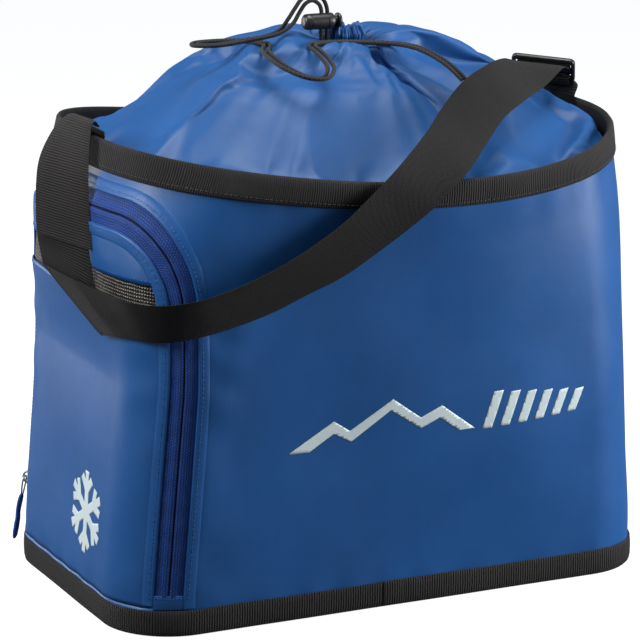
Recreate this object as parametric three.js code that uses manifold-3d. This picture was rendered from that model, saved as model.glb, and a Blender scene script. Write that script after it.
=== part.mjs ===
// A ski boot bag: a box of coated fabric bound with ribbed webbing, a U-shaped zipped door round one end,
// a gathered drawstring skirt for a lid, and a webbing shoulder strap. Millimetres, +Z up, floor at z = 0.
// The bag's length lies along X, the zipped end is at -X and the front faces -Y.
import * as THREE from "three";
import { mergeVertices } from "three/addons/utils/BufferGeometryUtils.js";
import Module from "manifold-3d";

const wasm = await Module();
wasm.setup();

// ---- driving dimensions ----
const GAP = 0.3; // clearance between touching pieces
const SEAM_GAP = 0.8; // clearance where two pieces follow the wall on different grids
const HALF_LENGTH = 208; // of the base outline
const HALF_DEPTH = 125;
const BASE_CORNER = 51;
const WALL_TOP = 333; // height of the wall's top edge at the two ends

const RIM_LEFT = 190; // half-lengths and half-depth of the rim outline
const RIM_RIGHT = 206;
const RIM_DEPTH = 147;
const RIM_POWER = 2.75; // superellipse exponent of the rim outline
const RIM_DIP = 22; // how far the long sides of the rim dip in the middle
const RIM_SKEW = 8.5; // the dip is deeper towards +X
const RIM_TILT_X = -1.5;
const RIM_TILT_Y = 4; // the back of the rim is higher than the front

const LEAN_FROM = 30; // the zipped end leans in between these heights, then swells out again
const LEAN_TO = 175;
const LEAN = 12;
const SWELL_TOP = 262;
const SWELL = 9;
const NECK_FROM = 275;
const SIDE_FLARE = 0.046;

const FABRIC = 1.6;
const TAPE = 1.2; // thickness of binding tape
const BINDING = 19; // height of each visible band of binding

const ZIP_TAPE = 10.6; // half-width of the closed zip
const COIL = 3;
const DOOR_MIDDLE = 7.5; // centre of the U, measured along the base outline from the middle of the end
const DOOR_HALF = 124.5; // from there to the centre line of each leg
const DOOR_TOP = 291.4;
const DOOR_CORNER = 62;
const DOOR_FOOT = 20.6;
const GARAGE_TOP = 50.8; // where the zip's chain starts on the slider's leg
const FRONT_STOP = 29.4; // and where it ends on the other leg
const VENT_LOW = 226; // the mesh band of the door
const VENT_HIGH = 249;

const THROAT = new THREE.Vector2(12, 0); // where the drawstring gathers the skirt
const STRAP_WIDTH = 40;
const STRAP_THICK = 1.4;
const CORD = 3;

const v3 = (x, y, z) => new THREE.Vector3(x, y, z);
const clamp01 = (t) => Math.min(1, Math.max(0, t));
const ramp = (a, b, t) => clamp01((t - a) / (b - a));
const smooth = (a, b, t) => THREE.MathUtils.smoothstep(t, a, b);
const lerp = THREE.MathUtils.lerp;
const steps = (a, b, n) => Array.from({ length: n + 1 }, (_, i) => a + ((b - a) * i) / n);

// ---- the wall's surface ----
const END_FLAT = HALF_DEPTH - BASE_CORNER;
const LONG_FLAT = 2 * (HALF_LENGTH - BASE_CORNER);
const ARC = (Math.PI * BASE_CORNER) / 2;
const HALF_ROUND = 2 * END_FLAT + 2 * ARC + LONG_FLAT; // half the base outline

// A point of the base outline; u is the distance along it from the middle of the zipped end, + to the front.
function basePoint(u) {
  const side = u >= 0 ? -1 : 1;
  const cx = HALF_LENGTH - BASE_CORNER;
  let s = Math.abs(u);
  if (s <= END_FLAT) return new THREE.Vector2(-HALF_LENGTH, side * s);
  s -= END_FLAT;
  if (s <= ARC) {
    const a = s / BASE_CORNER;
    const y = END_FLAT + BASE_CORNER * Math.sin(a);
    return new THREE.Vector2(-cx - BASE_CORNER * Math.cos(a), side * y);
  }
  s -= ARC;
  if (s <= LONG_FLAT) return new THREE.Vector2(s - cx, side * HALF_DEPTH);
  s -= LONG_FLAT;
  if (s <= ARC) {
    const a = s / BASE_CORNER;
    const y = END_FLAT + BASE_CORNER * Math.cos(a);
    return new THREE.Vector2(cx + BASE_CORNER * Math.sin(a), side * y);
  }
  return new THREE.Vector2(HALF_LENGTH, side * (END_FLAT - (s - ARC)));
}

// A point of the wall's outer face; v is the height it would have if the rim didn't dip.
function wallPoint(u, v) {
  const p = basePoint(u);
  const ux = p.x / HALF_LENGTH;
  const uy = p.y / HALF_DEPTH;
  const angle = Math.atan2(uy, ux);
  const c = Math.cos(angle);
  const s = Math.sin(angle);
  const reach = (Math.abs(c) ** RIM_POWER + Math.abs(s) ** RIM_POWER) ** (-1 / RIM_POWER);
  const lean = LEAN * ramp(LEAN_FROM, LEAN_TO, v) - SWELL * smooth(LEAN_TO, SWELL_TOP, v);
  const neck = (HALF_LENGTH - LEAN + SWELL - RIM_LEFT) * smooth(NECK_FROM, WALL_TOP, v);
  const left = HALF_LENGTH - lean - neck;
  const right = lerp(HALF_LENGTH, RIM_RIGHT, v / WALL_TOP);
  const toRight = smooth(-60, 60, p.x);
  const a = lerp(left, right, toRight);
  const high = ramp(LEAN_TO, WALL_TOP, v);
  const up = v / WALL_TOP;
  const flare = SIDE_FLARE * v;
  const leftDepth = HALF_DEPTH + flare + (RIM_DEPTH - HALF_DEPTH - SIDE_FLARE * WALL_TOP) * high ** 1.4;
  const rightDepth = HALF_DEPTH + (RIM_DEPTH - HALF_DEPTH) * up ** 1.5;
  const b = lerp(leftDepth, rightDepth, toRight);
  const round = lerp(high ** 1.3, up * up, toRight); // from rounded rectangle to superellipse
  const x = a * lerp(ux, reach * c, round);
  const y = b * lerp(uy, reach * s, round);
  const n = x / a;
  const dip = RIM_DIP * (1 - n * n) + RIM_SKEW * n * (1 - n * n);
  return v3(x, y, up * (WALL_TOP - dip + RIM_TILT_X * n + (RIM_TILT_Y * y) / b));
}

function wallNormal(u, v) {
  const e = 0.5;
  const du = wallPoint(u + e, v).sub(wallPoint(u - e, v));
  const dv = wallPoint(u, Math.min(v + e, WALL_TOP)).sub(wallPoint(u, Math.max(v - e, 0)));
  return du.cross(dv).normalize();
}

const skin = (u, v, out) => wallPoint(u, v).addScaledVector(wallNormal(u, v), out);

// ---- the skirt's surface ----
const SKIRT_IN = 6.5; // the skirt starts this far inside the wall's face
const SKIRT_PROFILE = [
  [0, 380], [0.12, 382], [0.25, 385], [0.4, 385], [0.55, 382], [0.62, 377], [0.69, 367],
  [0.76, 355], [0.83, 343], [0.9, 331], [0.96, 323], [1, 317],
];

// q runs from the throat, 0, to the rim, 1.
function skirtPoint(u, q, out) {
  const rim = skin(u, WALL_TOP, -SKIRT_IN);
  const i = Math.max(1, SKIRT_PROFILE.findIndex(([at]) => at >= q));
  const [q0, z0] = SKIRT_PROFILE[i - 1];
  const [q1, z1] = SKIRT_PROFILE[i];
  const z = lerp(z0, z1, (q - q0) / (q1 - q0)) + (wallPoint(u, WALL_TOP).z - WALL_TOP) * q * q;
  return v3(lerp(THROAT.x, rim.x, q), lerp(THROAT.y, rim.y, q), z + out);
}

// ---- solid builders ----
function meshOf(points, faces) {
  const g = new THREE.BufferGeometry();
  g.setAttribute("position", new THREE.Float32BufferAttribute(points.flatMap((p) => p.toArray()), 3));
  let volume = 0;
  for (const [a, b, c] of faces) {
    volume += points[a].dot(new THREE.Vector3().crossVectors(points[b], points[c]));
  }
  g.setIndex(volume > 0 ? faces.flat() : faces.flatMap(([a, b, c]) => [a, c, b]));
  return g;
}

// A solid between two grids of points, outer(i, j) and inner(i, j); it can close on itself along i.
function slab(nu, nv, outer, inner, wraps = false) {
  const points = [];
  const faces = [];
  for (const layer of [outer, inner]) {
    for (let j = 0; j < nv; j++) {
      for (let i = 0; i < nu; i++) points.push(layer(i, j));
    }
  }
  const at = (i, j, k) => k * nu * nv + j * nu + (i % nu);
  const quad = (a, b, c, d) => faces.push([a, b, c], [a, c, d]);
  const across = wraps ? nu : nu - 1;
  for (let j = 0; j < nv - 1; j++) {
    for (let i = 0; i < across; i++) {
      quad(at(i, j, 0), at(i + 1, j, 0), at(i + 1, j + 1, 0), at(i, j + 1, 0));
      quad(at(i, j, 1), at(i, j + 1, 1), at(i + 1, j + 1, 1), at(i + 1, j, 1));
    }
    if (!wraps) {
      quad(at(0, j, 0), at(0, j + 1, 0), at(0, j + 1, 1), at(0, j, 1));
      quad(at(nu - 1, j, 0), at(nu - 1, j, 1), at(nu - 1, j + 1, 1), at(nu - 1, j + 1, 0));
    }
  }
  for (let i = 0; i < across; i++) {
    quad(at(i, 0, 0), at(i, 0, 1), at(i + 1, 0, 1), at(i + 1, 0, 0));
    quad(at(i, nv - 1, 0), at(i + 1, nv - 1, 0), at(i + 1, nv - 1, 1), at(i, nv - 1, 1));
  }
  return meshOf(points, faces);
}

// A ring whose closed section is section(i), a list of points, at each of n places round it. Its faces split
// from the lower point of one section to the higher of the next, as the wall sheets' faces do.
function ring(n, section) {
  const rows = Array.from({ length: n }, (_, i) => section(i));
  const m = rows[0].length;
  const faces = [];
  for (let i = 0; i < n; i++) {
    for (let k = 0; k < m; k++) {
      const a = i * m + k;
      const b = i * m + ((k + 1) % m);
      const c = ((i + 1) % n) * m + ((k + 1) % m);
      const d = ((i + 1) % n) * m + k;
      if (rows[i][k].z <= rows[i][(k + 1) % m].z) faces.push([a, b, c], [a, c, d]);
      else faces.push([a, b, d], [b, c, d]);
    }
  }
  return meshOf(rows.flat(), faces);
}

// A stack of closed outlines, capped at both ends round their middles.
function stack(rows, low, high) {
  const m = rows[0].length;
  const points = [...rows.flat(), low, high];
  const faces = [];
  for (let k = 0; k < m; k++) {
    const n = (k + 1) % m;
    for (let j = 0; j < rows.length - 1; j++) {
      faces.push([j * m + k, j * m + n, (j + 1) * m + n], [j * m + k, (j + 1) * m + n, (j + 1) * m + k]);
    }
    const top = (rows.length - 1) * m;
    faces.push([points.length - 2, n, k], [points.length - 1, top + k, top + n]);
  }
  return meshOf(points, faces);
}

function solidOf(geometry) {
  const g = geometry.clone();
  g.deleteAttribute("normal");
  g.deleteAttribute("uv");
  const m = mergeVertices(g, 1e-3);
  const vertProperties = new Float32Array(m.attributes.position.array);
  const triVerts = new Uint32Array(m.index.array);
  return new wasm.Manifold(new wasm.Mesh({ numProp: 3, vertProperties, triVerts }));
}

function geometryOf(solid) {
  const m = solid.getMesh();
  const g = new THREE.BufferGeometry();
  g.setAttribute("position", new THREE.BufferAttribute(m.vertProperties, 3));
  g.setIndex(new THREE.BufferAttribute(m.triVerts, 1));
  return g;
}

const minus = (a, ...cutters) =>
  geometryOf(cutters.reduce((s, c) => s.subtract(solidOf(c)), solidOf(a)));
const plus = (a, ...others) => geometryOf(others.reduce((s, o) => s.add(solidOf(o)), solidOf(a)));

const box = (w, d, h, x, y, z) => new THREE.BoxGeometry(w, d, h).translate(x, y, z);

// A cylinder along X, from x0 to x1.
const rodX = (r, x0, x1, sides) =>
  new THREE.CylinderGeometry(r, r, x1 - x0, sides).rotateZ(Math.PI / 2).translate((x0 + x1) / 2, 0, 0);

// A round cord through hand-placed points.
function cordTube(points, diameter, count) {
  const path = new THREE.CatmullRomCurve3(points, false, "centripetal");
  const section = new THREE.Shape().absarc(0, 0, diameter / 2, 0, 2 * Math.PI, false);
  return new THREE.ExtrudeGeometry(section, { steps: count, curveSegments: 8, extrudePath: path });
}

// ---- scene graph ----
const bag = new THREE.Group();
const FINISH = {
  body: [0x1d4a9a, 0.45, 0],
  skirt: [0x2c62b4, 0.5, 0],
  binding: [0x2b2a2b, 0.85, 0],
  webbing: [0x2c2b2d, 0.85, 0],
  zip: [0x1b3a8c, 0.8, 0],
  mesh: [0x3a3b3f, 0.9, 0],
  board: [0x26272a, 0.6, 0],
  plastic: [0x1b1b1c, 0.35, 0],
  metal: [0x9a9a9c, 0.3, 1],
  cord: [0x1f1f20, 0.9, 0],
};

function add(name, finish, geometry, parent = bag) {
  const [color, roughness, metalness] = FINISH[finish];
  const mesh = new THREE.Mesh(geometry, new THREE.MeshStandardMaterial({ color, roughness, metalness }));
  mesh.name = name;
  parent.add(mesh);
  return mesh;
}

// Places round the outline, closer together round the corners.
const corner1 = END_FLAT + ARC;
const corner2 = corner1 + LONG_FLAT;
const HALF_PLACES = [
  ...steps(0, END_FLAT, 3),
  ...steps(END_FLAT, corner1, 6).slice(1),
  ...steps(corner1, corner2, 8).slice(1),
  ...steps(corner2, corner2 + ARC, 6).slice(1),
  ...steps(corner2 + ARC, HALF_ROUND, 3).slice(1),
];
const PLACES = [...HALF_PLACES, ...HALF_PLACES.slice(1, -1).reverse().map((u) => -u)];

// ---- the zipped door's outline, in wall coordinates ----
// Half-width, at height v, of the U grown by w beyond the zip's centre line.
function doorHalf(v, w) {
  const r = DOOR_CORNER + w;
  const rise = v - (DOOR_TOP - DOOR_CORNER);
  if (rise <= 0) return DOOR_HALF + w;
  return DOOR_HALF - DOOR_CORNER + Math.sqrt(Math.max(0, r * r - rise * rise));
}

// Heights that follow the U's outline closely where it bends, from v0 to v1.
function doorRows(v0, v1, w) {
  const r = DOOR_CORNER + w;
  const spring = DOOR_TOP - DOOR_CORNER;
  const bend = steps(0, Math.PI / 2, 7).map((a) => spring + r * Math.sin(a));
  const straight = [v0, 60, 100, 140, LEAN_TO, 200];
  const inner = [...straight, ...bend].filter((v) => v > v0 + 2 && v < v1 - 2);
  return [v0, ...inner.sort((a, b) => a - b), v1];
}

// A panel that fills the U grown by w, between two heights and two offsets from the wall's face.
function doorPanel(v0, v1, w, low, high, columns = 15) {
  const rows = doorRows(v0, v1, w);
  const at = (out) => (i, j) => {
    const half = doorHalf(rows[j], w);
    return skin(DOOR_MIDDLE + half * (1 - (2 * i) / (columns - 1)), rows[j], out);
  };
  return slab(columns, rows.length, at(high), at(low));
}

// A place along the zip's U, from the slider's leg over the top to the front leg, w outside the centre line.
const LEG = DOOR_TOP - DOOR_CORNER;
const BEND = (Math.PI / 2) * DOOR_CORNER;
const CROWN = 2 * (DOOR_HALF - DOOR_CORNER);
function zipPlace(s, w) {
  const back = DOOR_MIDDLE - DOOR_HALF;
  const front = DOOR_MIDDLE + DOOR_HALF;
  if (s <= LEG) return [back - w, s];
  s -= LEG;
  if (s <= BEND) {
    const a = s / DOOR_CORNER;
    return [back + DOOR_CORNER - (DOOR_CORNER + w) * Math.cos(a), LEG + (DOOR_CORNER + w) * Math.sin(a)];
  }
  s -= BEND;
  if (s <= CROWN) return [back + DOOR_CORNER + s, DOOR_TOP + w];
  s -= CROWN;
  if (s <= BEND) {
    const a = s / DOOR_CORNER;
    return [front - DOOR_CORNER + (DOOR_CORNER + w) * Math.sin(a), LEG + (DOOR_CORNER + w) * Math.cos(a)];
  }
  return [front + w, LEG - (s - BEND)];
}
const ZIP_LENGTH = 2 * (LEG + BEND) + CROWN;
const ZIP_STEPS = [
  GARAGE_TOP, 100, 140, LEAN_TO, 200,
  ...steps(LEG, LEG + BEND, 7),
  ...steps(LEG + BEND, LEG + BEND + CROWN, 7).slice(1),
  ...steps(LEG + BEND + CROWN, LEG + 2 * BEND + CROWN, 7).slice(1),
  ZIP_LENGTH - 200, ZIP_LENGTH - LEAN_TO, ZIP_LENGTH - 140, ZIP_LENGTH - 100, ZIP_LENGTH - 60,
  ZIP_LENGTH - FRONT_STOP,
];

// A strip that follows the zip between two widths and two offsets.
function zipStrip(w0, w1, low, high, along = ZIP_STEPS) {
  const at = (out) => (i, j) => skin(...zipPlace(along[j], i ? w1 : w0), out);
  return slab(2, along.length, at(high), at(low));
}

// ---- walls ----
const WALL_ROWS = [1.8, DOOR_FOOT - GAP, 60, 100, 140, LEAN_TO, 200, 225, 250, 275, 295, 315, WALL_TOP];
const BACK_SEAM_RIGHT = -(corner2 + ARC * 0.5);
const BACK_SEAM_LEFT = -(corner1 - ARC / 6);

// A wall sheet between two places round the outline, on the rows of heights given.
function wallSheet(u0, u1, rows, low, high) {
  const inside = PLACES.concat(PLACES.map((u) => u - 2 * HALF_ROUND), PLACES.map((u) => u + 2 * HALF_ROUND));
  const places = [u0, ...inside.filter((u) => u > u0 + 3 && u < u1 - 3).sort((a, b) => a - b), u1];
  const unwrapped = places.map((u) => (u > HALF_ROUND ? u - 2 * HALF_ROUND : u));
  const at = (out) => (i, j) => skin(unwrapped[i], rows[j], out);
  return slab(places.length, rows.length, at(high), at(low));
}

const doorwayEdge = ZIP_TAPE + 1.5 * SEAM_GAP;
const doorway = doorPanel(DOOR_FOOT - GAP, DOOR_TOP + doorwayEdge, doorwayEdge, -12, 12);
const frontWrap = wallSheet(BACK_SEAM_LEFT, 2 * HALF_ROUND + BACK_SEAM_RIGHT, WALL_ROWS, -FABRIC, 0);
add("front_wrap_panel", "body", minus(frontWrap, doorway));
const backPanel = wallSheet(BACK_SEAM_RIGHT + 0.5, BACK_SEAM_LEFT - 0.5, WALL_ROWS, -FABRIC, 0);
add("back_panel", "body", backPanel);

// Seam tapes that close the two back seams on the inside.
[["back_left_seam_tape", BACK_SEAM_LEFT], ["back_right_seam_tape", BACK_SEAM_RIGHT]].forEach(([name, u]) => {
  const rows = [8, LEAN_TO, 225, 275, 310];
  const at = (out) => (i, j) => skin(u + 11 * (1 - i), rows[j], out);
  add(name, "binding", slab(3, rows.length, at(-FABRIC - SEAM_GAP), at(-FABRIC - SEAM_GAP - 0.9)));
});

// ---- floor ----
const insetRow = (inset, z) =>
  PLACES.map((u) => {
    const p = skin(u, 0, -inset);
    return v3(p.x, p.y, z);
  });
add(
  "base_panel",
  "body",
  stack(
    [
      insetRow(21, 0), insetRow(20, 1.6), insetRow(2.2, 1.6),
      insetRow(2.2, 3.2), insetRow(20.8, 3.2), insetRow(22, 2.4),
    ],
    v3(0, 0, 0),
    v3(0, 0, 2.4),
  ),
);
add("base_board", "board", stack([insetRow(5, 3.5), insetRow(5, 6)], v3(0, 0, 3.5), v3(0, 0, 6)));

// ---- bindings: webbing folded over the edges ----
const baseOutline = [
  [TAPE + GAP, 0], [TAPE + GAP, BINDING], [GAP, BINDING], [GAP, TAPE + 0.1],
  [-BINDING, TAPE + 0.1], [-BINDING, 0],
];
add("base_binding", "binding", ring(PLACES.length, (i) => baseOutline.map(([out, z]) => {
  const p = skin(PLACES[i], z, out);
  return v3(p.x, p.y, z);
})));

const rimInside = -FABRIC - GAP;
const rimOutline = [
  [TAPE + GAP, 1 - BINDING, 0], [TAPE + GAP, 0, 1.5], [rimInside - TAPE, 0, 1.5],
  [rimInside - TAPE, 1 - BINDING, 0], [rimInside, 1 - BINDING, 0], [rimInside, 0, GAP],
  [GAP, 0, GAP], [GAP, 1 - BINDING, 0],
];
add("rim_binding", "binding", ring(PLACES.length, (i) =>
  rimOutline.map(([out, down, lift]) => skin(PLACES[i], WALL_TOP + down, out).add(v3(0, 0, lift))),
));

// ---- zip and door ----
add("zip_outer_tape", "zip", zipStrip(0.15, ZIP_TAPE, -1.6, -0.6));
add("zip_inner_tape", "zip", zipStrip(-ZIP_TAPE, -0.15, -1.6, -0.6));
add("zip_outer_coil", "zip", zipStrip(0.15, COIL, -3.9, -1.9));
add("zip_inner_coil", "zip", zipStrip(-COIL, -0.15, -3.9, -1.9));
add("zip_garage", "zip", zipStrip(-ZIP_TAPE, ZIP_TAPE, -1.6, -0.6, [DOOR_FOOT, 45.5]));
const frontTab = [ZIP_LENGTH - FRONT_STOP + GAP, ZIP_LENGTH - DOOR_FOOT];
add("zip_end_tab", "zip", zipStrip(-ZIP_TAPE, ZIP_TAPE, -1.6, -0.4, frontTab));

const doorEdge = -ZIP_TAPE - SEAM_GAP;
add("door_lower_panel", "body", doorPanel(DOOR_FOOT, VENT_LOW, doorEdge, -FABRIC, 0));
add("door_vent_mesh", "mesh", doorPanel(VENT_LOW + GAP, VENT_HIGH, doorEdge, -1.3, -0.5));
add("door_upper_panel", "body", doorPanel(VENT_HIGH + GAP, DOOR_TOP + doorEdge, doorEdge, -FABRIC, 0));

// ---- slider on the back leg, in a frame whose Z runs up the leg and whose X points out of the wall ----
const SLIDER_AT = 53.5;
const legU = DOOR_MIDDLE - DOOR_HALF;
const legDirection = wallPoint(legU, 160).sub(wallPoint(legU, 60)).normalize();
const legOut = wallNormal(legU, 100);
legOut.addScaledVector(legDirection, -legOut.dot(legDirection)).normalize();
const legFrame = new THREE.Matrix4().makeBasis(
  legOut,
  new THREE.Vector3().crossVectors(legDirection, legOut),
  legDirection,
);
const slider = new THREE.Group();
slider.applyMatrix4(legFrame);
slider.position.copy(wallPoint(legU, SLIDER_AT));
bag.add(slider);

const plate = (x0, x1, half, z0, z1) => box(x1 - x0, 2 * half, z1 - z0, (x0 + x1) / 2, 0, (z0 + z1) / 2);
const neck = plate(-4.4, 0, 0.9, -7, -3.4);
add("zip_slider", "metal", plus(
  plate(-0.2, 1.1, 4.6, -7, 6.5),
  neck,
  plate(-5.6, -4.3, 4.6, -7, 6.5),
), slider);
// The bail that holds the pull, standing on the top plate.
const bailArch = new THREE.CatmullRomCurve3(
  [v3(0, 0, -4.6), v3(2.2, 0, -4.2), v3(3.6, 0, -1.4), v3(3.6, 0, 1.4), v3(2.2, 0, 4.2), v3(0, 0, 4.6)]
    .map((p) => p.add(v3(1.4, 0, 0))),
  false,
  "centripetal",
);
const bailSection = new THREE.Shape().absarc(0, 0, 0.8, 0, 2 * Math.PI, false);
add("slider_bail", "metal", new THREE.ExtrudeGeometry(bailSection, {
  steps: 10,
  curveSegments: 8,
  extrudePath: bailArch,
}).translate(0.85, 0, 0), slider);

// ---- pull: a bent wire through the bail, with a cord end on it ----
const WIRE_LENGTH = 14.5;
const PULL_CORD = 34;
const pull = new THREE.Group();
pull.position.copy(slider.position).addScaledVector(legOut, 3.1);
pull.rotation.z = Math.atan2(legOut.y, legOut.x);
bag.add(pull);
const wireHalf = [[0.9, -WIRE_LENGTH], [1.7, -11], [2.6, -5], [2.2, -0.8]];
const wirePath = new THREE.CatmullRomCurve3(
  [...wireHalf.map(([y, z]) => v3(0, -y, z)), v3(0, 0, 0.8), ...wireHalf.reverse().map(([y, z]) => v3(0, y, z))],
  false,
  "centripetal",
);
add("pull_wire", "metal", new THREE.ExtrudeGeometry(new THREE.Shape().absarc(0, 0, 0.6, 0, 2 * Math.PI, false), {
  steps: 18,
  curveSegments: 8,
  extrudePath: wirePath,
}), pull);
const pullEnd = new THREE.CapsuleGeometry(1.7, PULL_CORD - 3.4, 4, 10).rotateX(Math.PI / 2);
add("pull_cord", "cord", pullEnd.translate(0, 0, -WIRE_LENGTH - 0.6 - PULL_CORD / 2), pull);

// ---- skirt and its hem ----
const SKIRT_ROWS = [0.075, 0.2, 0.4, 0.55, 0.66, 0.76, 0.86, 0.94, 1];
const skirtAt = (out) => (i, j) => skirtPoint(PLACES[i], SKIRT_ROWS[j], out);
add("skirt", "skirt", slab(PLACES.length, SKIRT_ROWS.length, skirtAt(0), skirtAt(-1.1), true));

// The hem channel stands up round the throat and holds the cord.
const HEM_PROFILE = [[9, 382.6], [15, 382.6], [16.5, 388], [15.5, 393.5], [12, 396], [9.5, 393.5], [8.5, 388]];
const hemOutline = [...HEM_PROFILE, HEM_PROFILE[0]].map(([r, z]) => new THREE.Vector2(r, z));
add("hem_channel", "skirt", new THREE.LatheGeometry(hemOutline, 24).rotateX(Math.PI / 2)
  .translate(THROAT.x, THROAT.y, 0));

// ---- webbing ----
// A ribbon through pairs of edge points, [left or upper edge] and [right or lower edge], with its middle layer
// moved out along its normal and slid along its width.
function ribbon(pairs, count, out = 0, slide = 0) {
  const edges = [0, 1].map((k) => new THREE.CatmullRomCurve3(pairs.map((p) => v3(...p[k])), false, "centripetal"));
  const at = (k, t) => edges[k].getPoint(clamp01(t));
  const across = (t) => at(1, t).sub(at(0, t)).normalize();
  const face = (t) => {
    const e = 0.2 / count;
    const ahead = at(0, t + e).add(at(1, t + e));
    const behind = at(0, t - e).add(at(1, t - e));
    return ahead.sub(behind).cross(across(t)).normalize();
  };
  const layer = (lift) => (i, j) =>
    at(i, j / count).addScaledVector(face(j / count), lift).addScaledVector(across(j / count), slide);
  return slab(2, count + 1, layer(out + STRAP_THICK / 2), layer(out - STRAP_THICK / 2));
}

// Left anchor: sewn inside the rim at the middle of the zipped end, standing up out of it.
const ANCHOR_ROWS = [314, 324, WALL_TOP, WALL_TOP + 5];
const anchorAt = (out) => (i, j) => {
  const v = ANCHOR_ROWS[j];
  return skin(i ? -15 : 25, Math.min(v, WALL_TOP), out).add(v3(0, 0, Math.max(0, v - WALL_TOP)));
};
add("strap_anchor", "webbing", slab(2, ANCHOR_ROWS.length, anchorAt(-3.5), anchorAt(-3.5 - STRAP_THICK)));

// The strap folds over the anchor, hangs down the end, turns along a diagonal crease, then sweeps round the
// front corner, up across the front, over the rim and skirt, to the adjuster at the other end.
const BAR = v3(183, 8, 362); // middle of the adjuster's upper bar
const BAR_ALONG = v3(0.788, -0.616, -0.08).normalize();
const BAR_DOWN = v3(0.288, 0.481, -0.828);
BAR_DOWN.addScaledVector(BAR_ALONG, -BAR_DOWN.dot(BAR_ALONG)).normalize();
const BAR_OUT = new THREE.Vector3().crossVectors(BAR_ALONG, BAR_DOWN);

// Both edges of webbing laid along the adjuster's bars, at down and out from the upper bar, then shifted.
function onBar(down, out, shift = [0, 0, 0]) {
  const c = BAR.clone().addScaledVector(BAR_DOWN, down).addScaledVector(BAR_OUT, out).add(v3(...shift));
  return [-1, 1].map((k) => c.clone().addScaledVector(BAR_ALONG, (k * STRAP_WIDTH) / 2).toArray());
}

const STRAP_EDGES = [
  [[-185.8, 15, 341.4], [-185.8, -25, 341.4]],
  [[-190, 15, 345.5], [-189.5, -25, 345]],
  [[-197, 14.5, 341], [-196.5, -25, 340]],
  [[-203, 12.5, 322], [-201.5, -27, 320]],
  [[-215, 6, 300], [-207.5, -33, 297]],
  [[-225, -9, 278], [-208.5, -45, 272]],
  [[-231, -23, 262], [-206.5, -54, 252]],
  [[-232, -29, 256], [-203, -59, 230]],
  [[-232, -31, 253], [-201.5, -61, 212]],
  [[-233, -34.5, 251.5], [-202.5, -64.5, 204]],
  [[-231.5, -38.5, 250.5], [-202, -69, 205]],
  [[-225, -60, 246.5], [-201, -84, 207]],
  [[-216, -95, 243], [-196.5, -101, 209]],
  [[-208, -128, 241], [-189, -116, 209]],
  [[-192, -147, 240.5], [-177.5, -128, 210]],
  [[-172, -158, 243.5], [-157, -137, 214]],
  [[-151, -159.5, 248], [-131, -140, 220]],
  [[-129, -160, 255], [-108, -142, 227]],
  [[-107, -160.5, 264], [-84, -144, 237]],
  [[-84, -159, 275], [-57, -146, 248]],
  [[-60, -157, 289], [-31, -149, 264]],
  [[-40, -154.5, 304], [-9, -152, 279]],
  [[-20, -150, 319], [9, -155, 293]],
  [[12, -130, 338], [32, -153, 312]],
  [[35, -111, 352], [58, -134, 328]],
  [[56, -102, 368], [82, -115, 342]],
  [[82, -88, 376], [105, -101, 350]],
  [[118, -48, 380], [142, -69, 357]],
  [[147, -9, 375], [174, -37, 364]],
  onBar(-4.8, 0.4),
  onBar(-2.4, 3.7),
  onBar(1.6, 3.9),
  onBar(4.4, 1.8),
  onBar(4.4, -1.2),
  onBar(2.6, -3.9),
  onBar(2.2, -4.4, [-5, -7, 1]),
  onBar(2.2, -4.4, [-17, -22, 3]),
];
add("strap_webbing", "webbing", ribbon(STRAP_EDGES, 96));

// The strap's sewn-down end lies behind its first ply.
add("strap_sewn_end", "webbing", ribbon(STRAP_EDGES.slice(2, 7), 12, 2.4, 4));

// Right tab: sewn inside the rim, turned round the adjuster's lower bar and sewn to itself.
const tabFoot = (v, rise = 0) => [33 - HALF_ROUND, HALF_ROUND - 7].map((u) =>
  skin(u, v, -4.8).add(v3(0, 0, rise)).toArray());
add("adjuster_tab", "webbing", ribbon([
  tabFoot(314),
  tabFoot(WALL_TOP),
  tabFoot(WALL_TOP, 4),
  [[190.4, 33.3, 342], [206.6, -3.3, 342]],
  [[177.7, 31.8, 347.6], [208.3, 6, 345]],
  onBar(16.2, 3.1),
  onBar(13, 0.3),
  onBar(14, -3.1),
  onBar(19.6, -3.6),
  onBar(22.6, -2.6, [3, 0, 0]),
], 24));

// ---- adjuster: a moulded frame with two slots ----
const FRAME_WIDTH = 48;
const FRAME_BAR = 4.5;
const FRAME_SLOT = 4.4;
const FRAME_THICK = 3.6;
const frameHeight = 3 * FRAME_BAR + 2 * FRAME_SLOT;
function roundedRectangle(shape, x0, y0, x1, y1, r) {
  shape.moveTo(x0 + r, y0);
  shape.lineTo(x1 - r, y0);
  shape.absarc(x1 - r, y0 + r, r, -Math.PI / 2, 0, false);
  shape.lineTo(x1, y1 - r);
  shape.absarc(x1 - r, y1 - r, r, 0, Math.PI / 2, false);
  shape.lineTo(x0 + r, y1);
  shape.absarc(x0 + r, y1 - r, r, Math.PI / 2, Math.PI, false);
  shape.lineTo(x0, y0 + r);
  shape.absarc(x0 + r, y0 + r, r, Math.PI, 1.5 * Math.PI, false);
  return shape;
}
const frameShape = roundedRectangle(
  new THREE.Shape(), -FRAME_WIDTH / 2, -FRAME_BAR / 2, FRAME_WIDTH / 2, frameHeight - FRAME_BAR / 2, 4,
);
for (const k of [0, 1]) {
  const y = FRAME_BAR / 2 + k * (FRAME_BAR + FRAME_SLOT);
  const slotHalf = STRAP_WIDTH / 2 + 1;
  frameShape.holes.push(roundedRectangle(new THREE.Path(), -slotHalf, y, slotHalf, y + FRAME_SLOT, 1));
}
const frame = new THREE.ExtrudeGeometry(frameShape, { depth: FRAME_THICK, bevelEnabled: false, curveSegments: 5 });
const adjuster = new THREE.Group();
adjuster.applyMatrix4(new THREE.Matrix4().makeBasis(BAR_ALONG, BAR_DOWN, BAR_OUT));
adjuster.position.copy(BAR);
bag.add(adjuster);
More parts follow.
